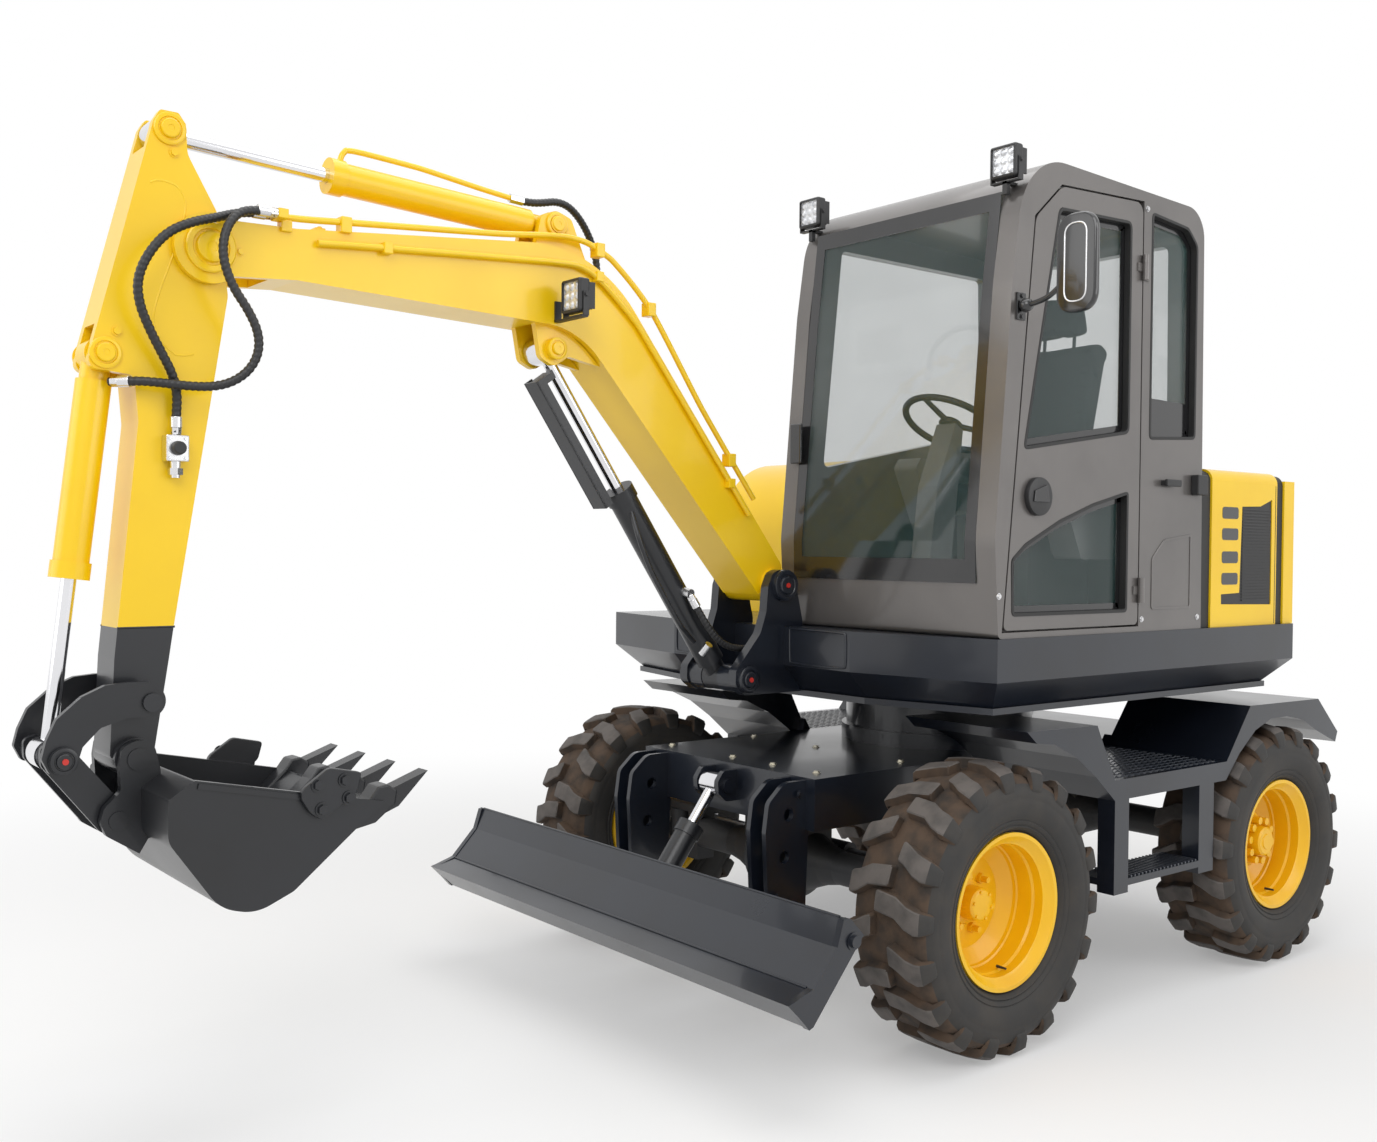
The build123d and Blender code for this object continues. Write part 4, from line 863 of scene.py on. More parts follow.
@dataclass
class Rim:
    """A rim with its disc, hub and nuts, in the place of its plain solid."""

    name: str
    axle_x: float
    side: Side
    driven: bool
    height: float = 482.5
    middle_y: float = 929.0
    outside: tuple[Point2, ...] = (
        (261.0, 133.6), (261.0, 121.6), (238.0, 117.6), (228.0, 99.6), (228.0, -99.6), (238.0, -117.6),
        (261.0, -121.6), (261.0, -133.6), (246.0, -133.6), (214.0, -107.6), (214.0, -28.0), (160.0, -62.0),
        (90.0, -62.0), (90.0, -70.0), (48.0, -70.0), (48.0, 20.0), (0.0, 20.0))
    steered_hub: tuple[Point2, ...] = (
        (0.0, 27.0), (44.0, 27.0), (50.0, 25.0), (56.0, 18.0), (58.0, -34.0), (74.0, -38.0), (78.0, -46.0))
    driven_hub: tuple[Point2, ...] = (
        (0.0, 86.0), (30.0, 86.0), (32.0, 82.0), (50.0, 82.0), (58.0, 76.0), (62.0, 44.0), (66.0, 8.0),
        (112.0, 4.0), (118.0, -2.0), (118.0, -46.0))
    inside: tuple[Point2, ...] = (
        (160.0, -46.0), (206.0, -12.0), (208.0, -4.0), (208.0, 0.0), (214.0, 4.0), (214.0, 61.6),
        (220.0, 69.6), (220.0, 103.6), (228.0, 108.0), (244.0, 130.0), (248.0, 133.6))
    # Rings of nuts and studs: count, circle, radius, from, to, sides.
    driven_nuts: tuple[tuple[float, ...], ...] = (
        (10, 84.0, 16.0, 2.0, 62.0, 24), (10, 136.0, 15.0, -48.0, -30.0, 6),
        (10, 136.0, 8.0, -46.0, -22.0, 12))
    steered_nuts: tuple[tuple[float, ...], ...] = (
        (6, 96.0, 19.0, -48.0, -32.0, 6), (6, 96.0, 11.0, -46.0, -6.0, 16), (6, 46.0, 6.0, 24.0, 31.0, 6))
    valve_circle: float = 206.0
    valve_angle: float = -1.75

    def spot(self, circle: float, angle: float, out: float) -> Point3:
        """Give a place from its circle, its angle in radians and its distance outwards."""
        return (self.axle_x + circle * math.cos(angle), self.side.value * (self.middle_y + out),
                self.height + circle * math.sin(angle))

    def ring_of(self, shop: Shop, count: int, circle: float, radius: float, low: float, high: float,
                sides: int) -> list[Piece]:
        """Set bars round the axle.

        Args:
            shop: The workshop.
            count: Number of bars.
            circle: Radius of the circle that they stand on.
            radius: Radius of a bar.
            low: Distance outwards of its foot.
            high: Distance outwards of its tip.
            sides: Sides of a bar.

        Returns:
            The bars.
        """
        made = []
        for number in range(count):
            turn = 2 * math.pi * (number + 0.25) / count
            foot, tip = self.spot(circle, turn, low), self.spot(circle, turn, high)
            made.append(shop.round_bar("nut", foot, tip, radius, sides, radius * 0.93))
        return made

    def build(self, shop: Shop) -> None:
        """Make the rim and put it in the place of its solid."""
        section = [*self.outside, *(self.driven_hub if self.driven else self.steered_hub), *self.inside]
        centre = shop.at(self.axle_x, self.side.value * self.middle_y, self.height)
        body = shop.turned("rim", section, centre, Vector((0, self.side.value, 0)), 112)
        parts = [shop.smooth(body, 34.0)]
        for row in self.driven_nuts if self.driven else self.steered_nuts:
            parts += self.ring_of(shop, *row)
        # The rim wears the darker copy of the yellow enamel, which is painted shade.
        rim = shop.fit(f"rim_detail_{self.name}", parts, f"wheel_{self.name}", "rim_yellow", RIM_YELLOW_SHADED)
        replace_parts(rim, f"rim_{self.name}")
        foot, tip = (self.spot(self.valve_circle, self.valve_angle, out) for out in (58, 96))
        stem = shop.round_bar(f"valve_stem_{self.name}", foot, tip, 5.0, 16, 3.6)
        shop.place(stem, f"wheel_{self.name}", "tyre", SEAL)


@dataclass
class LineWork:
    """Tubes and hoses of the boom and arm, with their clamps, ferrules and valves."""

    tube_radius: float = 10.0
    upper_y: float = 98.0
    side_y: float = 114.0
    hose_radius: float = 13.0
    wrap_depth: float = 2.4
    wrap_pitch: float = 15.0
    upper_line: tuple[Point2, ...] = (
        (2960, 2600), (2899, 2602), (2760, 2615), (2234, 2660), (1967, 2695), (1846, 2666), (1763, 2610),
        (1633, 2490), (1406, 2165), (1154, 1850))
    side_line: tuple[Point2, ...] = (
        (2855, 2538), (2772, 2546), (2022, 2598), (1900, 2596), (1700, 2430), (1190, 1792))
    upper_clamps: tuple[Point2, ...] = ((2765, 2614), (1858, 2670), (1641, 2497), (1270, 1996))
    side_clamps: tuple[Point2, ...] = ((2637, 2555), (1868, 2571), (1280, 1904))
    valve_hose: tuple[Point3, ...] = (
        (2985.3, 98, 2600), (3040, 98, 2600), (3096, 108, 2586), (3152, 132, 2562), (3234, 158, 2532),
        (3300, 165, 2493), (3348, 160, 2429), (3371, 150, 2362), (3362, 140, 2299), (3331, 130, 2235),
        (3299, 122, 2181), (3266, 114, 2126), (3250, 105, 2070), (3252, 100, 2014), (3252, 100, 1962.3))
    bucket_hose: tuple[Point3, ...] = (
        (2985.3, 134, 2600), (3040, 134, 2600), (3095, 150, 2584), (3130, 168, 2550), (3150, 178, 2506),
        (3156, 182, 2460), (3148, 186, 2412), (3127, 192, 2360), (3092, 198, 2310), (3063, 200, 2252),
        (3058, 194, 2197), (3078, 184, 2149), (3115, 172, 2115), (3160, 160, 2097), (3219, 150, 2092),
        (3280, 138, 2096), (3345, 118, 2100), (3384, 92, 2098), (3412, 56, 2097))
    back_hose: tuple[Point3, ...] = (
        (2100, 0, 2805), (2064, 0, 2805), (2020, 0, 2812), (1960, -4, 2828), (1900, -16, 2822),
        (1836, -38, 2788), (1782, -60, 2736), (1754, -68, 2682), (1746, -70, 2630), (1750, -70, 2580),
        (1752, -70, 2536))
    loop_hose: tuple[Point3, ...] = (
        (1432, 74, 1500), (1417, 80, 1474), (1398, 90, 1436), (1372, 98, 1392), (1336, 101, 1350),
        (1290, 99, 1318), (1234, 94, 1302), (1170, 87, 1299), (1110, 82, 1300), (1051, 80, 1300))
    arm_tube: tuple[Point3, ...] = (
        (2738, 0, 2806), (2734, 0, 2850), (2700, 0, 2859), (2470, 0, 2846), (2240, 0, 2818), (2130, 0, 2807))
    boom_tube: tuple[Point3, ...] = (
        (1668, 40, 1790), (1668, 82, 1700), (1614, 82, 1585), (1478, 82, 1387), (1400, 60, 1330))
    # Plates of the rod's guard: name, from and to along the rod, from and to off it, from and to in y.
    guard_plates: tuple[tuple[str, int, int, int, int, int, int], ...] = (
        ("web", 64, 564, 94, 100, -40, 40), ("lip", 64, 564, 66, 100, 34, 40),
        ("lip", 64, 564, 66, 100, -40, -34), ("stay", 68, 92, 20, 96, -30, 30))

    def rigid(self, shop: Shop) -> None:
        """Run the painted tubes along the boom, with their clamps."""
        for side in Side:
            row = [(x, side.value * self.upper_y, z) for x, z in self.upper_line]
            shop.place(shop.pipe(f"boom_tube_{side.name.lower()}", row, self.tube_radius), "boom", "yellow",
                       YELLOW)
        row = [(x, self.side_y, z) for x, z in self.side_line]
        shop.place(shop.pipe("boom_tube_outer", row, self.tube_radius), "boom", "yellow", YELLOW)
        pads = []
        for side in Side:
            for x, z in self.upper_clamps:
                pad = shop.side_slab("pad", side, (x - 17, x + 17), (self.upper_y - 26, self.upper_y + 16),
                                     (z - 32, z + 15))
                pads.append(shop.bevel(pad, 3.0))
                pads.append(shop.bolt((x, side.value * (self.upper_y - 17), z + 14), (0, 0, 1), 7.0))
        blocks = [((x - 15, 99.0, z - 18), (x + 15, self.side_y + 13, z + 16)) for x, z in self.side_clamps]
        blocks += [((2955, 84, 2586), (2985, 148, 2614)), ((2930, 76, 2558), (2962, 112, 2592))]
        pads += [shop.bevel(shop.slab("pad", low, high), 3.0) for low, high in blocks]
        shop.fit("boom_tube_clamps", pads, "boom", "yellow", YELLOW)

    def hose(self, shop: Shop, name: str, route: Sequence[Point3], bodies: tuple[str, str], start: Point3,
             end: Point3) -> None:
        """Args:
            shop: The workshop.
            name: Name of the hose.
            route: Control points of its line.
            bodies: The body at its first end and the one at its last; not used.
            start: Where it would stop following the first; not used.
            end: Where it would start to follow the last; not used.
        """
        line = shop.evenly(shop.line_of(route), 0.004)
        hose = shop.wrapped(name, line, self.hose_radius, self.wrap_depth, self.wrap_pitch)
        shop.coat(hose, HOSE)
        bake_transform(hose)

    def ferrule(self, shop: Shop, name: str, start: Point3, end: Point3, body: str) -> None:
        """Crimp a bright ferrule with a hexagon nut over a hose's end."""
        neck = tuple(Vector(start).lerp(Vector(end), 0.62))
        sleeve = shop.round_bar("sleeve", start, neck, self.hose_radius + 3.0, 32)
        nut = shop.round_bar("nut", neck, end, self.hose_radius + 2.0, 6, self.hose_radius + 1.0)
        shop.place(shop.bevel(shop.join(name, [sleeve, nut]), 1.2, 2, 30.0), body, "steel", FERRULE)

    def valves(self, shop: Shop) -> None:
        """Bolt a shut-off valve with its stub to each side of the arm."""
        for side in Side:
            sign = side.value
            block = shop.bevel(shop.side_slab("block", side, (3222, 3284), (77.0, 120.0), (1890, 1962)), 4.0)
            stub = shop.round_bar("stub", (3253, sign * 98, 1892), (3253, sign * 98, 1846), 15.0, 24, 13.0)
            cap = shop.round_bar("nut", (3253, sign * 98, 1872), (3253, sign * 98, 1854), 20.0, 6)
            heads = [(x, sign * 119.6, z) for x in (3232, 3274) for z in (1900, 1952)]
            ears = shop.bolts("ears", heads, (0, sign, 0), 5.0)
            shop.fit(f"arm_valve_{side.name.lower()}", [block, stub, cap, ears], "arm", "steel", FERRULE)
            knob = shop.round_bar(f"arm_valve_knob_{side.name.lower()}", (3253, sign * 120, 1926),
                                  (3253, sign * 142, 1926), 20.0, 32, 17.0)
            shop.place(shop.bevel(knob, 3.0), "arm", "trim_plastic", PLASTIC)

    def cylinder_tubes(self, shop: Shop) -> None:
        """Run the port tubes of the arm and boom cylinders and their short hoses."""
        barrel = "arm_cylinder_barrel"
        shop.place(shop.pipe("arm_cylinder_tube", self.arm_tube, 9.0, 18.0), barrel, "yellow", YELLOW)
        nut = shop.round_bar("arm_cylinder_nut", (2146, 0, 2808), (2096, 0, 2805), 15.0, 6)
        shop.place(nut, barrel, "steel", FERRULE)
        barrel = "boom_cylinder_barrel"
        shop.place(shop.pipe("boom_cylinder_tube", self.boom_tube, 9.0, 24.0), barrel, "tool_black", TOOL)
        self.hose(shop, "hose_arm_cylinder", self.back_hose, ("arm_cylinder_barrel", "boom"), (2040, 0, 2830),
                  (1800, -60, 2760))
        anchor = shop.bevel(shop.slab("arm_hose_anchor", (1734, -88, 2496), (1770, -52, 2540)), 3.0)
        shop.place(anchor, "boom", "yellow", YELLOW)
        self.ferrule(shop, "ferrule_arm_cylinder", (1751, -70, 2586), (1752, -70, 2540), "boom")
        self.hose(shop, "hose_boom_cylinder", self.loop_hose, (barrel, "upper"), (1372, 98, 1392),
                  (1200, 90, 1300))
        ports = [shop.round_bar("port", (1438, 30, 1512), (1434, 84, 1504), 17.0, 24),
                 shop.round_bar("port", (1336, 30, 1282), (1330, 62, 1318), 15.0, 24)]
        shop.fit("boom_cylinder_ports", ports, barrel, "steel", FERRULE)
        self.ferrule(shop, "ferrule_boom_cylinder", (1408, 85, 1456), (1432, 75, 1500), barrel)
        self.ferrule(shop, "ferrule_platform", (1094, 81, 1300), (1051, 80, 1300), "upper")

    def guard(self, shop: Shop) -> None:
        """Fold the channel that guards the boom cylinder's rod and hang it at the rod's eye."""
        base, eye = Vector((1229.0, 1193.0)), Vector((2015.0, 2320.0))
        along = (eye - base).normalized()
        out = Vector((along.y, -along.x))
        parts = []
        for name, near, far, low, high, y_from, y_to in self.guard_plates:
            spots = ((near, low), (far, low), (far, high), (near, high))
            outline = [tuple(eye - along * run + out * depth) for run, depth in spots]
            parts.append(shop.plate(name, outline, y_from, y_to))
        shop.fit("boom_rod_guard", parts, "boom_cylinder_rod", "tool_black", TOOL)

    def build(self, shop: Shop) -> None:
        """Make every tube and hose."""
        self.rigid(shop)
        hands = ("boom", "arm")
        self.hose(shop, "hose_valve", self.valve_hose, hands, (3060, 98, 2600), (3345, 150, 2300))
        self.hose(shop, "hose_bucket_cylinder", self.bucket_hose, hands, (3060, 134, 2600), (3090, 180, 2160))
        self.ferrule(shop, "ferrule_valve_top", (3042, 98, 2600), (2984, 98, 2600), "boom")
        self.ferrule(shop, "ferrule_bucket_top", (3042, 134, 2600), (2984, 134, 2600), "boom")
        self.ferrule(shop, "ferrule_valve_low", (3252, 100, 2012), (3252, 100, 1964), "arm")
        self.ferrule(shop, "ferrule_bucket_low", (3372, 99, 2099), (3410, 62, 2097), "arm")
        self.valves(shop)
        self.cylinder_tubes(shop)
        self.guard(shop)


@dataclass
class Lamp:
    """A square work lamp that shines forward, with its bracket."""

    name: str
    x: float
    y: float
    z: float
    body: str
    half: float = 54.0

    def build(self, shop: Shop) -> Piece:
        """Make housing, lens and bracket.

        Args:
            shop: The workshop.

        Returns:
            The housing.
        """
        x, y, z, half = self.x, self.y, self.z, self.half
        shell = shop.bevel(shop.slab("shell", (x, y - half, z - half), (x + 44, y + half, z + half)), 9.0, 3)
        cut = shop.slab("cut", (x + 34, y - half + 9, z - half + 9), (x + 60, y + half - 9, z + half - 9))
        shop.modify(shell, "BOOLEAN", operation="DIFFERENCE", object=cut, solver="EXACT")
        bpy.data.objects.remove(cut)
        fins = [shop.slab("fin", (x - 20, foot, z - half + 12), (x + 4, foot + 5, z + half - 12))
                for foot in [y - half + 10 + step * 15.0 for step in range(7)]]
        housing = shop.fit(f"lamp_housing_{self.name}", [shell, *fins], self.body, "lamp", PLASTIC)
        cells = [shop.slab("pane", (x + 33, y - half + 8, z - half + 8),
                           (x + 36, y + half - 8, z + half - 8))]
        for column in (-29.0, 0.0, 29.0):
            for row in (-29.0, 0.0, 29.0):
                spot = (y + column, z + row)
                cells.append(shop.round_bar("cell", (x + 35.5, *spot), (x + 41.0, *spot), 15.0, 8, 6.0))
        shop.fit(f"lamp_lens_{self.name}", cells, self.body, "lamp", LENS)
        arms = [shop.slab("arm", (x + 8, y - half - 5, z - half - 8), (x + 30, y - half, z + 10)),
                shop.slab("arm", (x + 8, y + half, z - half - 8), (x + 30, y + half + 5, z + 10)),
                shop.slab("arm", (x + 8, y - half - 5, z - half - 13), (x + 30, y + half + 5, z - half - 8)),
                shop.bolt((x + 19, y - half - 5, z), (0, -1, 0), 7.0),
                shop.bolt((x + 19, y + half + 5, z), (0, 1, 0), 7.0)]
        shop.fit(f"lamp_bracket_{self.name}", arms, self.body, "lamp", PLASTIC)
        return housing


@dataclass
class CabTrim:
    """Glass borders, seals, lamps, mirrors and handles of the cab."""

    skin: float = 1050.0
    pane: float = 1025.0
    mirror_x: float = 836.0
    mirror_y: Point2 = (1204.0, 1353.0)
    mirror_z: Point2 = (2420.0, 2734.0)
    upper_window: tuple[Point2, ...] = ((813, 2001), (635, 2829), (209, 2846), (209, 2090))
    lower_window: tuple[Point2, ...] = (
        (862, 1452), (868, 1640), (795, 1694), (611, 1775), (423, 1836), (209, 1886), (209, 1452))
    quarter_window: tuple[Point2, ...] = ((85, 2900), (-156, 2880), (-222, 2821), (-222, 2093), (85, 2076))
    windshield: tuple[Point2, ...] = ((946, 1560.5), (950, 1700), (881, 2500), (839, 2859.5))

    def windows(self, shop: Shop) -> None:
        """Lay a black border and a rubber seal round each side window."""
        for name, outline, radius, body in (("door_upper", self.upper_window, 30.0, "door"),
                                            ("door_lower", self.lower_window, 20.0, "door"),
                                            ("quarter", self.quarter_window, 24.0, "upper")):
            edge = rounded(outline, radius)
            mask = shop.ring_plate(f"border_{name}", edge, 34.0, self.pane + 0.2, self.pane + 1.4)
            shop.place(mask, body, "rubber_seal", MASK)
            seal = shop.ring_plate(f"seal_{name}", edge, 11.0, self.pane + 1.4, self.skin + 2.0)
            shop.place(shop.bevel(seal, 1.5, 2, 60.0), body, "rubber_seal", SEAL)
        outline = [(62, 2100), (62, 2232), (-198, 2226), (-198, 2116)]
        band = shop.plate("quarter_band", outline, self.pane + 0.2, self.pane + 1.3)
        shop.place(band, "upper", "rubber_seal", MASK)

    def front(self, shop: Shop) -> None:
        """Lay the black border round the windshield."""
        side = [*self.windshield, *((x + 1.8, z) for x, z in reversed(self.windshield))]
        foot = [(946, 1560.5), (948.0, 1640), (949.8, 1640), (947.8, 1560.5)]
        head = [(846.0, 2800), (839, 2859.5), (840.8, 2859.5), (847.8, 2800)]
        strips = [shop.plate("strip", outline, low, high)
                  for outline, low, high in ((side, 101, 146), (side, 924, 969), (foot, 146, 924),
                                             (head, 146, 924))]
        shop.fit("windshield_border", strips, "upper", "rubber_seal", MASK)

    def oval(self, inset: float, radius: float) -> list[Point2]:
        """Give the outline of the oval mirror in (y, z), moved inwards by an inset."""
        low, high = self.mirror_y[0] + inset, self.mirror_y[1] - inset
        foot, head = self.mirror_z[0] + inset, self.mirror_z[1] - inset
        return rounded([(low, foot), (high, foot), (high, head), (low, head)], radius, 8)

    def mirrors(self, shop: Shop) -> None:
        """Make the oval mirror on its bent arm, with a bright ring that paints a highlight on its shell, and
        the small one on the right.
        """
        x = self.mirror_x
        outline = [shop.at(x, a, b) for a, b in self.oval(0.0, 68.0)]
        shell = shop.bevel(shop.prism("shell", outline, Vector((0.026, 0, 0))), 9.0, 3, 30.0)
        arm = self.mirror_arm(shop, x, sum(self.mirror_y) / 2)
        parts = [shop.smooth(shell, 30.0), *arm]
        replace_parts(shop.fit("mirror_oval", parts, "upper", "trim_plastic", MIRROR_BACK), "mirror")
        # A bright steel ring on the front of the shell paints the highlight of its inner step.
        line = [(x + 26.2, a, b) for a, b in self.oval(34.0, 40.0)]
        shop.place(shop.pipe("mirror_ring", [*line, line[0]], 3.2, 2.0), "upper", "steel", FERRULE)
        outline = [shop.at(x - 1.2, a, b) for a, b in self.oval(9.0, 60.0)]
        shop.place(shop.prism("mirror_glass", outline, Vector((0.0012, 0, 0))), "upper", "chrome", CHROME)
        small = shop.bevel(shop.slab("mirror_right", (938, 72, 1990), (952, 132, 2140)), 6.0, 3)
        shop.place(small, "upper", "trim_plastic", MIRROR_BACK)

    def mirror_arm(self, shop: Shop, x: float, middle: float) -> list[Piece]:
        """Bend the mirror's arm and set its ball and foot plate.

        Args:
            shop: The workshop.
            x: Place of the mirror.
            middle: Distance to the left of its middle.

        Returns:
            The ball, the rod, the plate and its two bolts.
        """
        skin = self.skin
        section = [(0.0, -24.0), (17.0, -18.0), (24.0, 0.0), (17.0, 18.0), (0.0, 24.0)]
        ball = shop.turned("ball", section, shop.at(x + 6, skin + 26, 2470), Vector((0, 1, 0)), 24)
        route = [(x + 6, skin + 30, 2470), (x + 10, skin + 90, 2474), (x + 12, skin + 150, 2500),
                 (x + 12, middle - 10, 2560)]
        rod = shop.wrapped("rod", shop.evenly(shop.line_of(route), 0.008), 9.0, 0.0, 1000.0, 12)
        plate = shop.bevel(shop.slab("plate", (x - 20, skin + 0.5, 2425), (x + 26, skin + 7, 2515)), 3.0)
        return [shop.smooth(ball, 60.0), rod, plate, shop.bolt((x + 3, skin + 7, 2436), (0, 1, 0), 7.0),
                shop.bolt((x + 3, skin + 7, 2504), (0, 1, 0), 7.0)]

    def fittings(self, shop: Shop) -> None:
        """Add the latch, handles, catch, panel bead and bolts."""
        skin = self.skin
        disc = shop.round_bar("disc", (740, skin - 4, 1850), (740, skin + 19.5, 1850), 64.0, 64)
        latch = shop.join("door_latch", [shop.bevel(disc, 3.0, 2, 30.0)])
        shop.place(shop.smooth(latch, 30.0), "door", "trim_plastic", PLASTIC)
        outline = [(700, 1832), (782, 1832), (776, 1870), (712, 1890)]
        grip = shop.bevel(shop.plate("door_grip", outline, skin + 19.5, skin + 26), 2.0)
        shop.place(grip, "door", "trim_plastic", MASK)
        parts = [shop.bevel(shop.slab("bar", (-90, skin + 14, 1910), (6, skin + 30, 1936)), 5.0, 3),
                 shop.slab("foot", (-82, skin, 1914), (-64, skin + 18, 1932)),
                 shop.slab("foot", (-14, skin, 1914), (2, skin + 18, 1932)),
                 shop.bevel(shop.slab("stop", (-262, skin, 1884), (-196, skin + 34, 1960)), 5.0)]
        shop.fit("cab_handle", parts, "upper", "trim_plastic", PLASTIC)
        panel = rounded([(58, 1458), (-204, 1458), (-204, 1738), (-20, 1716), (58, 1646)], 16.0)
        bead = shop.ring_plate("cab_panel_bead", panel, 9.0, skin, skin + 3.0)
        shop.place(shop.bevel(bead, 1.4, 2, 50.0), "upper", "cab_grey", CAB)
        heads = [(x, skin + 0.3, z) for x, z in ((930, 1520), (118, 1425), (-250, 1425), (116, 2905))]
        shop.place(shop.bolts("cab_bolts", heads, (0, 1, 0), 8.0, 20), "upper", "steel", FERRULE)

    def lamps(self, shop: Shop) -> None:
        """Stand a lamp on each front corner of the roof and one on the boom."""
        made = []
        for name, y in (("left", 990.0), ("right", 70.0)):
            made.append(Lamp(f"cab_{name}", 822.0, y, 2952.0, "upper").build(shop))
            feet = [shop.slab(f"lamp_foot_{name}", (790, y - 9, 2880), (852, y + 9, 2890)),
                    shop.slab("post", (834, y - 9, 2846), (852, y + 9, 2890))]
            shop.fit(f"lamp_foot_{name}", feet, "upper", "lamp", PLASTIC)
        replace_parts(made[0], "work_lamps")
        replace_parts(Lamp("boom", 2000.0, 205.0, 2474.0, "boom").build(shop), "boom_lamp")
        feet = [shop.slab("boom_lamp_foot", (2010, 101, 2402), (2034, 262, 2408)),
                shop.slab("rise", (2010, 101, 2402), (2034, 108, 2470))]
        shop.fit("boom_lamp_foot", feet, "boom", "lamp", PLASTIC)

    def build(self, shop: Shop) -> None:
        """Make every piece of the cab's trim."""
        self.windows(shop)
        self.front(shop)
        self.mirrors(shop)
        self.fittings(shop)
        self.lamps(shop)


@dataclass
class HoodTrim:
    """Slots, louvres and seam of the hood."""

    face: float = 1042.0
    slot_tops: tuple[float, ...] = (1847.0, 1764.0, 1674.0, 1590.0)
    slot_height: float = 46.0

    def build(self, shop: Shop) -> None:
        """Make black plates that paint the shade inside the slots, the louvres and the seam."""
        slot_shade_plates = []
        for top in self.slot_tops:
            foot = top - self.slot_height
            edge = rounded([(-436, top), (-555, top), (-555, foot), (-436, foot)], 14.0)
            # A flat black plate on the hood's face paints the shade inside each slot's opening.
            slot_shade_plates.append(shop.plate("slot", edge, self.face - 1.0, self.face + 0.8))
        shop.fit("hood_slots", slot_shade_plates, "upper", "trim_plastic", MASK)
        outline = [(-802, 1478), (-590, 1478), (-590, 1484), (-802, 1484)]
        louvre = shop.plate("grille_louvres", outline, 1037.5, 1041.5)
        shop.place(shop.row(louvre, 31, (0, 0, 0.012)), "upper", "trim_plastic", PLASTIC)
        seam = shop.slab("hood_seam", (-842, self.face - 6, 1384), (-838, self.face + 0.6, 1940))
        shop.fit("hood_seam", [seam], "upper", "rubber_seal", SEAL)


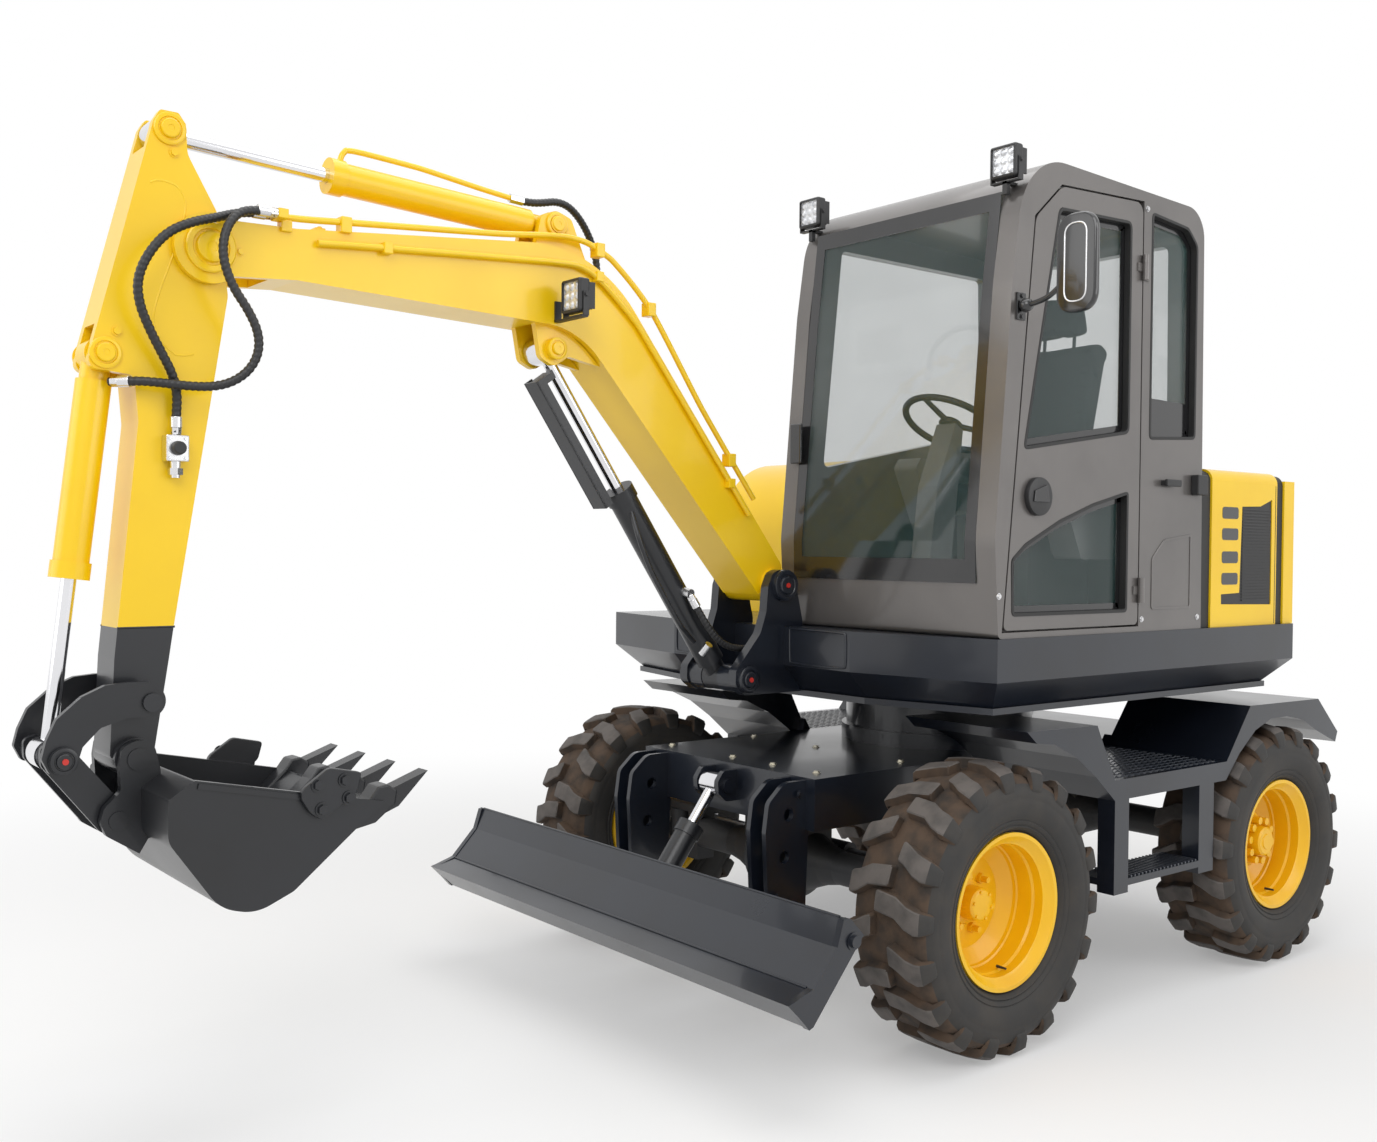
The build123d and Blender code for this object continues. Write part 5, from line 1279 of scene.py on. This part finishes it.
@dataclass
class ToolTrim:
    """Pin bosses, welds and cutters of the boom, arm and bucket."""

    # Outlines in (x, z).
    doubler: tuple[Point2, ...] = (
        (3314, 2640), (3292, 2660), (3210, 2630), (3236, 2500), (3317, 2274), (3272, 2188), (3219, 2178),
        (3197, 2191))
    side_cutter: tuple[Point2, ...] = (
        (2999, 1009), (2925, 1060), (2829, 1039), (2844, 983), (2880, 960), (2945, 918), (2979, 941),
        (3007, 986))
    adapter: tuple[Point2, ...] = (
        (2706, 972), (2735, 992), (2766, 988), (2790, 956), (2848, 902), (2836, 874), (2773, 886),
        (2712, 934))
    # Bosses of a side: body, x, z, distance outwards, radius, height.
    pins: tuple[tuple[str, float, float, float, float, float], ...] = (
        ("arm", 3264, 2794, 76.0, 44.0, 14.0), ("arm", 3430, 2172, 76.0, 42.0, 14.0),
        ("boom", 3160, 2484, 100.0, 70.0, 19.0), ("boom", 2009, 2729, 71.0, 40.0, 18.0),
        ("boom", 2015, 2320, 90.0, 36.0, 12.0), ("foot", 1056, 1533, 174.0, 56.0, 10.0),
        ("foot", 1229, 1193, 168.0, 48.0, 12.0))
    bucket_half: float = 350.0
    tooth_inset: float = 45.0
    teeth: int = 4

    def bosses(self, shop: Shop) -> None:
        """Set the stepped bosses, pin ends and caps on both sides."""
        made = {"arm": [], "boom": [], "foot": []}
        for side in Side:
            sign = side.value
            for body, x, z, out, radius, height in self.pins:
                made[body].append(shop.boss(x, z, out, side, radius, height))
            keepers = [(3400, sign * 76.0, 2232), (3251, sign * 76.0, 2732)]
            made["arm"].append(shop.bolts("keeper", keepers, (0, sign, 0), 11.0))
            made["boom"].append(shop.bolts("keeper", [(3076, sign * 100.0, 2484)], (0, sign, 0), 10.0))
        shop.fit("arm_bosses", made["arm"], "arm", "yellow", YELLOW)
        shop.fit("boom_bosses", made["boom"], "boom", "yellow", YELLOW)
        shop.fit("foot_bosses", made["foot"], "upper", "frame_black", NAVY)
        for side in Side:
            sign = side.value
            caps = [shop.round_bar("cap", (x, sign * (y - 6), z), (x, sign * (y + 3), z), 9.0, 20)
                    for x, y, z in ((1056, 186.0, 1533), (1229, 182.0, 1193))]
            shop.fit(f"red_caps_{side.name.lower()}", caps, "upper", "trim_plastic", RED_CAP)
            shop.place(shop.boss(3554, 1109, 170.0, side, 34.0, 10.0), "side_links", "tool_black", TOOL)
            ends = [(3554, sign * y, 1109) for y in (178, 185)]
            cap = shop.round_bar(f"link_cap_{side.name.lower()}", *ends, 8.0, 20)
            shop.place(cap, "side_links", "trim_plastic", RED_CAP)

    def welds(self, shop: Shop) -> None:
        """Lay the weld bead round the doubler and the step of the paint on each side of the arm."""
        for side in Side:
            row = [(x, side.value * 73.4, z) for x, z in self.doubler]
            shop.place(shop.pipe(f"arm_weld_{side.name.lower()}", row, 4.0, 30.0), "arm", "yellow", YELLOW)
            row = [(x, side.value * 74.6, 1440) for x in (3246, 3398)]
            shop.place(shop.pipe(f"arm_step_{side.name.lower()}", row, 3.0), "arm", "tool_black", TOOL)

    def bucket(self, shop: Shop) -> None:
        """Add cutters, adapters, bolts and wear bands to the bucket."""
        parts = []
        half = self.bucket_half
        for side in Side:
            cutter = shop.side_plate("cutter", rounded(self.side_cutter, 12.0), side,
                                     (half + 0.2, half + 18.0))
            parts.append(shop.bevel(cutter, 2.5, 2, 40.0))
            spots = ((2958, 1016), (2880, 1022), (2946, 948), (2868, 972))
            heads = [(x, side.value * (half + 18.0), z) for x, z in spots]
            parts.append(shop.bolts("bolts", heads, (0, side.value, 0), 15.0))
            band = [(3275, 1050), (2990, 990), (2994, 976), (3278, 1036)]
            parts.append(shop.side_plate("band", band, side, (half, half + 5.0)))
        pitch = 2 * (half - self.tooth_inset) / (self.teeth - 1)
        for tooth in range(self.teeth):
            y = self.tooth_inset - half + tooth * pitch
            parts.append(shop.bevel(shop.plate("adapter", self.adapter, y - 36, y + 36), 6.0, 2, 30.0))
        shop.fit("bucket_wear_parts", parts, "bucket", "tool_black", TOOL)

    def build(self, shop: Shop) -> None:
        """Make every piece of the digging gear's trim."""
        self.bosses(shop)
        self.welds(shop)
        self.bucket(shop)


@dataclass
class ChassisTrim:
    """Tread plate, step teeth, screws and welds of the chassis and blade."""

    # Diamonds of the tread plate: letter, turn in radians, place of the first one in (x, y).
    diamonds: tuple[tuple[str, float, Point2], ...] = (("a", 0.62, (-440.0, 560.0)),
                                                       ("b", -0.62, (-420.0, 578.0)))
    diamond_reach: float = 13.0
    diamond_half_width: float = 3.4

    def decks(self, shop: Shop) -> None:
        """Roll the raised pattern into the decks and cut the step's teeth."""
        for side in Side:
            name = side.name.lower()
            for letter, turn, start in self.diamonds:
                spot = Vector(start)
                reach = Vector((math.cos(turn), math.sin(turn))) * self.diamond_reach
                across = Vector((-math.sin(turn), math.cos(turn))) * self.diamond_half_width
                outline = [shop.at(a, side.value * b, 855.8)
                           for a, b in (spot + reach, spot + across, spot - reach, spot - across)]
                nub = shop.prism(f"deck_tread_{name}_{letter}", outline, Vector((0, 0, 0.0024)))
                shop.row(nub, 18, (0.039, 0, 0))
                shop.row(nub, 13, (0, side.value * 0.037, 0))
                shop.place(nub, "chassis", "frame_black", TREAD_PLATE)
            tooth = shop.side_slab(f"step_teeth_{name}", side, (-262, -254), (905.0, 1058.0), (494.5, 503))
            shop.place(shop.row(tooth, 19, (0.0235, 0, 0)), "chassis", "frame_black", TREAD_PLATE)

    def screws(self, shop: Shop) -> None:
        """Drive the bright screws into the deck and the bolts into the blade's plates."""
        spots = [(x, y, 872.0) for y in (-440.0, -66.0, 390.0) for x in (1100.0, 661.0)]
        spots.append((1100.0, 160.0, 872.0))
        screws = shop.bolts("deck_screws", spots, (0, 0, 1), 11.0, 20)
        shop.place(screws, "chassis", "steel", GALVANISED)
        heads = [shop.bolt((x, side.value * 451.0, z), (0, float(side.value), 0), 10.0)
                 for side in Side for x, z in ((1240, 820), (1340, 480), (1235, 430))]
        shop.fit("blade_plate_bolts", heads, "chassis", "frame_black", NAVY)

    def welds(self, shop: Shop) -> None:
        """Run weld beads along the blade and round the platform's front box."""
        for number, (x, z) in enumerate(((1622, 584), (1754, 398))):
            row = [(x, -1030, z), (x, 1030, z)]
            shop.place(shop.pipe(f"blade_weld_{number}", row, 4.0), "blade", "frame_black", NAVY)
        for side in Side:
            ring = ((190, 1374), (480, 1374), (480, 1246), (190, 1246), (190, 1374))
            box = [(1051, side.value * y, z) for y, z in ring]
            bead = shop.pipe(f"platform_weld_{side.name.lower()}", box, 4.0, 10.0)
            shop.place(bead, "upper", "frame_black", NAVY)
            pin = shop.bolt((1592, side.value * 1058.0, 512), (0, side.value, 0), 20.0, 24)
            shop.place(pin, "blade", "frame_black", NAVY)

    def build(self, shop: Shop) -> None:
        """Make every piece of the chassis trim."""
        self.decks(shop)
        self.screws(shop)
        self.welds(shop)


@dataclass
class Inside:
    """Cushions of the seat, its headrest and the steering wheel in the cab."""

    middle: float = 540.0
    voxel: float = 0.006
    cap: float = 0.010
    pressure: float = 4.0
    frames: int = 20
    wheel_place: Point2 = (582.0, 2122.0)
    wheel_tilt: float = math.radians(30)

    def swell(self, shop: Shop, piece: Piece) -> Piece:
        """Swell a form into a stuffed cushion with a short cloth simulation.

        Args:
            shop: The workshop.
            piece: The closed form, slightly smaller than the cushion.

        Returns:
            The cushion.
        """
        shop.modify(piece, "REMESH", mode="VOXEL", voxel_size=self.voxel, use_smooth_shade=True)
        rest = [vertex.co.copy() for vertex in piece.data.vertices]
        cloth = piece.modifiers.new("cloth", "CLOTH")
        cloth.settings.use_pressure = True
        cloth.settings.uniform_pressure_force = self.pressure
        cloth.settings.effector_weights.gravity = 0.0
        cloth.point_cache.frame_start = 1
        cloth.point_cache.frame_end = self.frames
        scene = bpy.context.scene
        for frame in range(1, self.frames + 1):
            scene.frame_set(frame)
        shop.pick(piece)
        bpy.ops.object.modifier_apply(modifier=cloth.name)
        for vertex, start in zip(piece.data.vertices, rest):
            moved = vertex.co - start
            if moved.length > self.cap:
                vertex.co = start + moved.normalized() * self.cap
        scene.frame_set(1)
        return shop.modify(piece, "SUBSURF", levels=1, render_levels=1)

    def build(self, shop: Shop) -> None:
        """Make the seat in the place of its plain solid, and the steering wheel."""
        m = self.middle
        back_line = rounded([(20, 1945), (66, 1945), (6, 2462), (-62, 2478), (-108, 2448)], 22.0)
        head_line = rounded([(-56, 2512), (-22, 2508), (-30, 2672), (-84, 2676), (-98, 2526)], 16.0)
        base = shop.bevel(shop.slab("seat_base", (-14, m - 226, 1815), (456, m + 226, 1916)), 34.0, 4)
        back = shop.bevel(shop.plate("seat_back", back_line, m - 212, m + 212), 24.0, 4, 40.0)
        head = shop.bevel(shop.plate("seat_headrest", head_line, m - 120, m + 120), 18.0, 3, 40.0)
        cushions = (("seat_base_cushion", base), ("seat_back_cushion", back), ("seat_headrest", head))
        for name, form in cushions:
            cushion = self.swell(shop, form)
            cushion.name = name
            shop.place(cushion, "upper", "seat_cloth", CLOTH)
            shop.pick(cushion)
            bpy.ops.object.shade_smooth()
        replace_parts(base, "seat")
        pan = shop.slab("pan", (-28, m - 236, 1800.3), (462, m + 236, 1818))
        posts = [shop.round_bar("post", (-70, m + side.value * 70, 2440), (-76, m + side.value * 70, 2530),
                                7.0, 16)
                 for side in Side]
        spine = shop.plate("spine", [(-26, 1818), (10, 1818), (-20, 2000), (-78, 2440), (-96, 2430)], m - 150,
                           m + 150)
        shop.fit("seat_frame", [pan, spine, *posts], "upper", "trim_plastic", PLASTIC)
        self.wheel(shop)

    def wheel(self, shop: Shop) -> None:
        """Make the steering wheel with its hub and spokes."""
        tilt = self.wheel_tilt
        centre = shop.at(self.wheel_place[0], self.middle, self.wheel_place[1])
        out = Vector((-math.sin(tilt), 0, math.cos(tilt)))
        grip = [(176 + 13 * math.cos(a * math.pi / 6),
                 13 + 12 * math.sin(a * math.pi / 6)) for a in range(12)]
        cap = [(0.0, 0.5), (40.0, 0.5), (46.0, 8.0), (40.0, 22.0), (26.0, 24.0), (0.0, 24.0)]
        parts = [shop.turned("rim", grip, centre, out, 64), shop.turned("hub", cap, centre, out, 32)]
        along = Vector((math.cos(tilt), 0, math.sin(tilt)))
        for turn in (0.0, 2.094, 4.189):
            way = along * math.cos(turn) + Vector((0, 1, 0)) * math.sin(turn)
            start, end = ((centre + out * 0.012 + way * reach - shop.axis) * MM for reach in (0.03, 0.172))
            parts.append(shop.round_bar("spoke", tuple(start), tuple(end), 11.0, 16, 9.0))
        wheel = shop.smooth(shop.join("steering_wheel_detail", parts), 50.0)
        shop.place(wheel, "upper", "trim_plastic", PLASTIC)
        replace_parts(wheel, "steering_wheel")


@dataclass
class Photographer:
    """Camera, lamps, floor and backdrop."""

    position: Point3 = (4492.1, 3870.3, 1671.4)
    yaw: float = -128.81
    pitch: float = -1.01
    roll: float = 0.54
    focal: float = 1364.32
    sensor: float = 36.0
    far_clip: float = 60.0
    # Soft lamps, in metres and watts: name, place, side of the square, power.
    lamps: tuple[tuple[str, Point3, float, float], ...] = (
        ("key", (5.5, 5.0, 6.5), 5.0, 250.0), ("front", (7.0, -2.0, 4.0), 5.0, 120.0),
        ("side", (-3.5, 7.5, 4.0), 5.0, 165.0), ("top", (0.0, 0.0, 8.0), 7.0, 240.0))
    lamp_aim: Point3 = (0.0, 0.0, 1.3)
    soft_light: float = 0.50
    floor_grey: float = 0.88
    floor_radius: float = 30.0
    floor_depth: float = 0.001
    fade_from: float = 2.2
    fade_to: float = 6.5
    near_white: float = 0.30

    def camera(self, shop: Shop) -> None:
        """Set up the camera at the photographed angle."""
        data = bpy.data.cameras.new("camera")
        data.sensor_width = self.sensor
        data.lens = self.focal / IMAGE_WIDTH * self.sensor
        data.clip_end = self.far_clip
        camera = bpy.data.objects.new("camera", data)
        bpy.context.scene.collection.objects.link(camera)
        yaw = math.radians(self.yaw)
        pitch = math.radians(self.pitch)
        forward = Vector((math.cos(yaw) * math.cos(pitch), math.sin(yaw) * math.cos(pitch), math.sin(pitch)))
        turn = forward.to_track_quat("-Z", "Y").to_matrix().to_4x4()
        roll = Matrix.Rotation(math.radians(self.roll), 4, "Z")
        camera.matrix_world = Matrix.Translation(shop.at(*self.position)) @ turn @ roll
        bpy.context.scene.camera = camera

    def light(self) -> None:
        """Hang the square soft lamps, all of them pointing at the machine."""
        aim = Vector(self.lamp_aim)
        for name, place, size, power in self.lamps:
            data = bpy.data.lights.new(name, "AREA")
            data.size = size
            data.energy = power
            lamp = bpy.data.objects.new(name, data)
            lamp.location = place
            lamp.rotation_euler = (aim - lamp.location).to_track_quat("-Z", "Y").to_euler()
            bpy.context.scene.collection.objects.link(lamp)

    def backdrop(self) -> None:
        """Light the surroundings softly and show them white."""
        world = bpy.data.worlds.new("studio")
        world.use_nodes = True
        graph = Graph(world.node_tree)
        graph.tree.nodes.clear()
        colour = (1.0, 1.0, 1.0, 1.0)
        soft, white = (graph.node("ShaderNodeBackground", {"Color": colour, "Strength": strength})
                       for strength in (self.soft_light, 1.0))
        mix = graph.node("ShaderNodeMixShader", {
            0: self.seen_directly(graph), 1: soft.outputs["Background"], 2: white.outputs["Background"]})
        graph.node("ShaderNodeOutputWorld", {"Surface": mix.outputs["Shader"]})
        bpy.context.scene.world = world

    def floor(self) -> None:
        """Lay a pale floor that keeps the shadow and fades to white far from the machine."""
        bpy.ops.object.select_all(action="DESELECT")
        bpy.ops.mesh.primitive_circle_add(vertices=96, radius=self.floor_radius, fill_type="NGON",
                                          location=(0, 0, -self.floor_depth))
        floor = bpy.context.object
        floor.name = "floor"
        bpy.ops.object.transform_apply(location=True)
        material, graph, shader = blank_material("pale_floor")
        graph.feed(shader, {"Base Color": (*[self.floor_grey] * 3, 1.0), "Roughness": 0.9})
        white = graph.node("ShaderNodeEmission")
        reach = graph.node("ShaderNodeVectorMath", {0: graph.place()}, operation="LENGTH")
        fade = graph.node("ShaderNodeMapRange", {
            "Value": reach.outputs["Value"], "From Min": self.fade_from, "From Max": self.fade_to,
            "To Min": self.near_white, "To Max": 1.0}, interpolation_type="SMOOTHSTEP")
        share = graph.node("ShaderNodeMath", {
            0: fade.outputs["Result"], 1: self.seen_directly(graph)}, operation="MULTIPLY")
        mix = graph.node("ShaderNodeMixShader", {
            0: share.outputs["Value"], 1: shader.outputs["BSDF"], 2: white.outputs["Emission"]})
        graph.feed(graph.tree.nodes["Material Output"], {"Surface": mix.outputs["Shader"]})
        floor.data.materials.append(material)

    def seen_directly(self, graph: Graph) -> bpy.types.NodeSocket:
        """Give a socket that is 1 for camera, glossy and transmission rays."""
        rays = graph.node("ShaderNodeLightPath").outputs
        total = rays["Is Camera Ray"]
        for name in ("Is Glossy Ray", "Is Transmission Ray"):
            add = graph.node("ShaderNodeMath", {0: total, 1: rays[name]}, operation="ADD", use_clamp=True)
            total = add.outputs["Value"]
        return total

    def build(self, shop: Shop) -> None:
        """Set the whole studio up."""
        self.camera(shop)
        self.light()
        self.backdrop()
        self.floor()
        bpy.context.scene.view_settings.view_transform = "Standard"


@dataclass
class NodeDress:
    """Finishes of the CAD nodes, and the nodes whose edges are eased."""

    eased: tuple[str, ...] = (
        "boom", "arm", "chassis_frame", "fenders", "blade", "upper_frame", "cab_shell", "cab_door", "hood",
        "side_cover", "counterweight", "bucket", "side_links", "tipping_link")
    ease: float = 0.0025
    ease_angle: float = math.radians(38)
    groups: tuple[tuple[Paint, tuple[str, ...]], ...] = (
        (YELLOW, ("boom", "hood", "side_cover", "counterweight", "arm_cylinder_barrel",
                  "bucket_cylinder_barrel")),
        (ARM_PAINT, ("arm",)),
        (NAVY, ("chassis_frame", "fenders", "slew_ring", "blade", "upper_frame")),
        (TOOL, ("bucket", "side_links", "tipping_link", "boom_cylinder_barrel", "blade_cylinder_barrel")),
        (CAST, ("front_axle", "rear_axle", "driveline", "knuckle_left", "knuckle_right", "engine")),
        (CHROME, ("boom_cylinder_rod", "arm_cylinder_rod", "bucket_cylinder_rod", "blade_cylinder_rod")),
        (STEEL, ("steering_rod",)),
        (CAB, ("cab_shell", "cab_door")),
        (GLASS, ("windshield", "cab_windows", "door_glass")),
        (PLASTIC, ("grille", "mirror", "steering_wheel", "work_lamps", "boom_lamp")),
        (CONSOLE, ("controls",)),
        (CLOTH, ("seat",)),
        (SEAL, ("hood_seals",)),
    )

    def build(self, shop: Shop) -> None:
        """Assign a finish to each node by name and ease the edges."""
        for finish, nodes in self.groups:
            for node in nodes:
                shop.dress(node, finish)
        for node in self.eased:
            edge = shop.frame["nodes"][node].modifiers.new("eased_edges", "BEVEL")
            edge.width = self.ease
            edge.segments = 2
            edge.limit_method = "ANGLE"
            edge.angle_limit = self.ease_angle


def corners(bounds: Sequence[Sequence[float]]) -> list[list[float]]:
    """Turn two corners into plain lists of numbers."""
    return [[float(value) for value in corner] for corner in bounds]


def main() -> None:
    """Dress the machine, piece by piece, and set up the studio."""
    logging.basicConfig(level=logging.INFO, format="%(name)s: %(message)s")
    shop = Shop()
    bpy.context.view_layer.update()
    Photographer().build(shop)
    for assembly in (NodeDress(), LineWork(), CabTrim(), HoodTrim(), ToolTrim(), ChassisTrim(), Inside(),
                     Wheels()):
        assembly.build(shop)
        LOG.info("%s done", type(assembly).__name__)


if __name__ == "__main__":
    main()
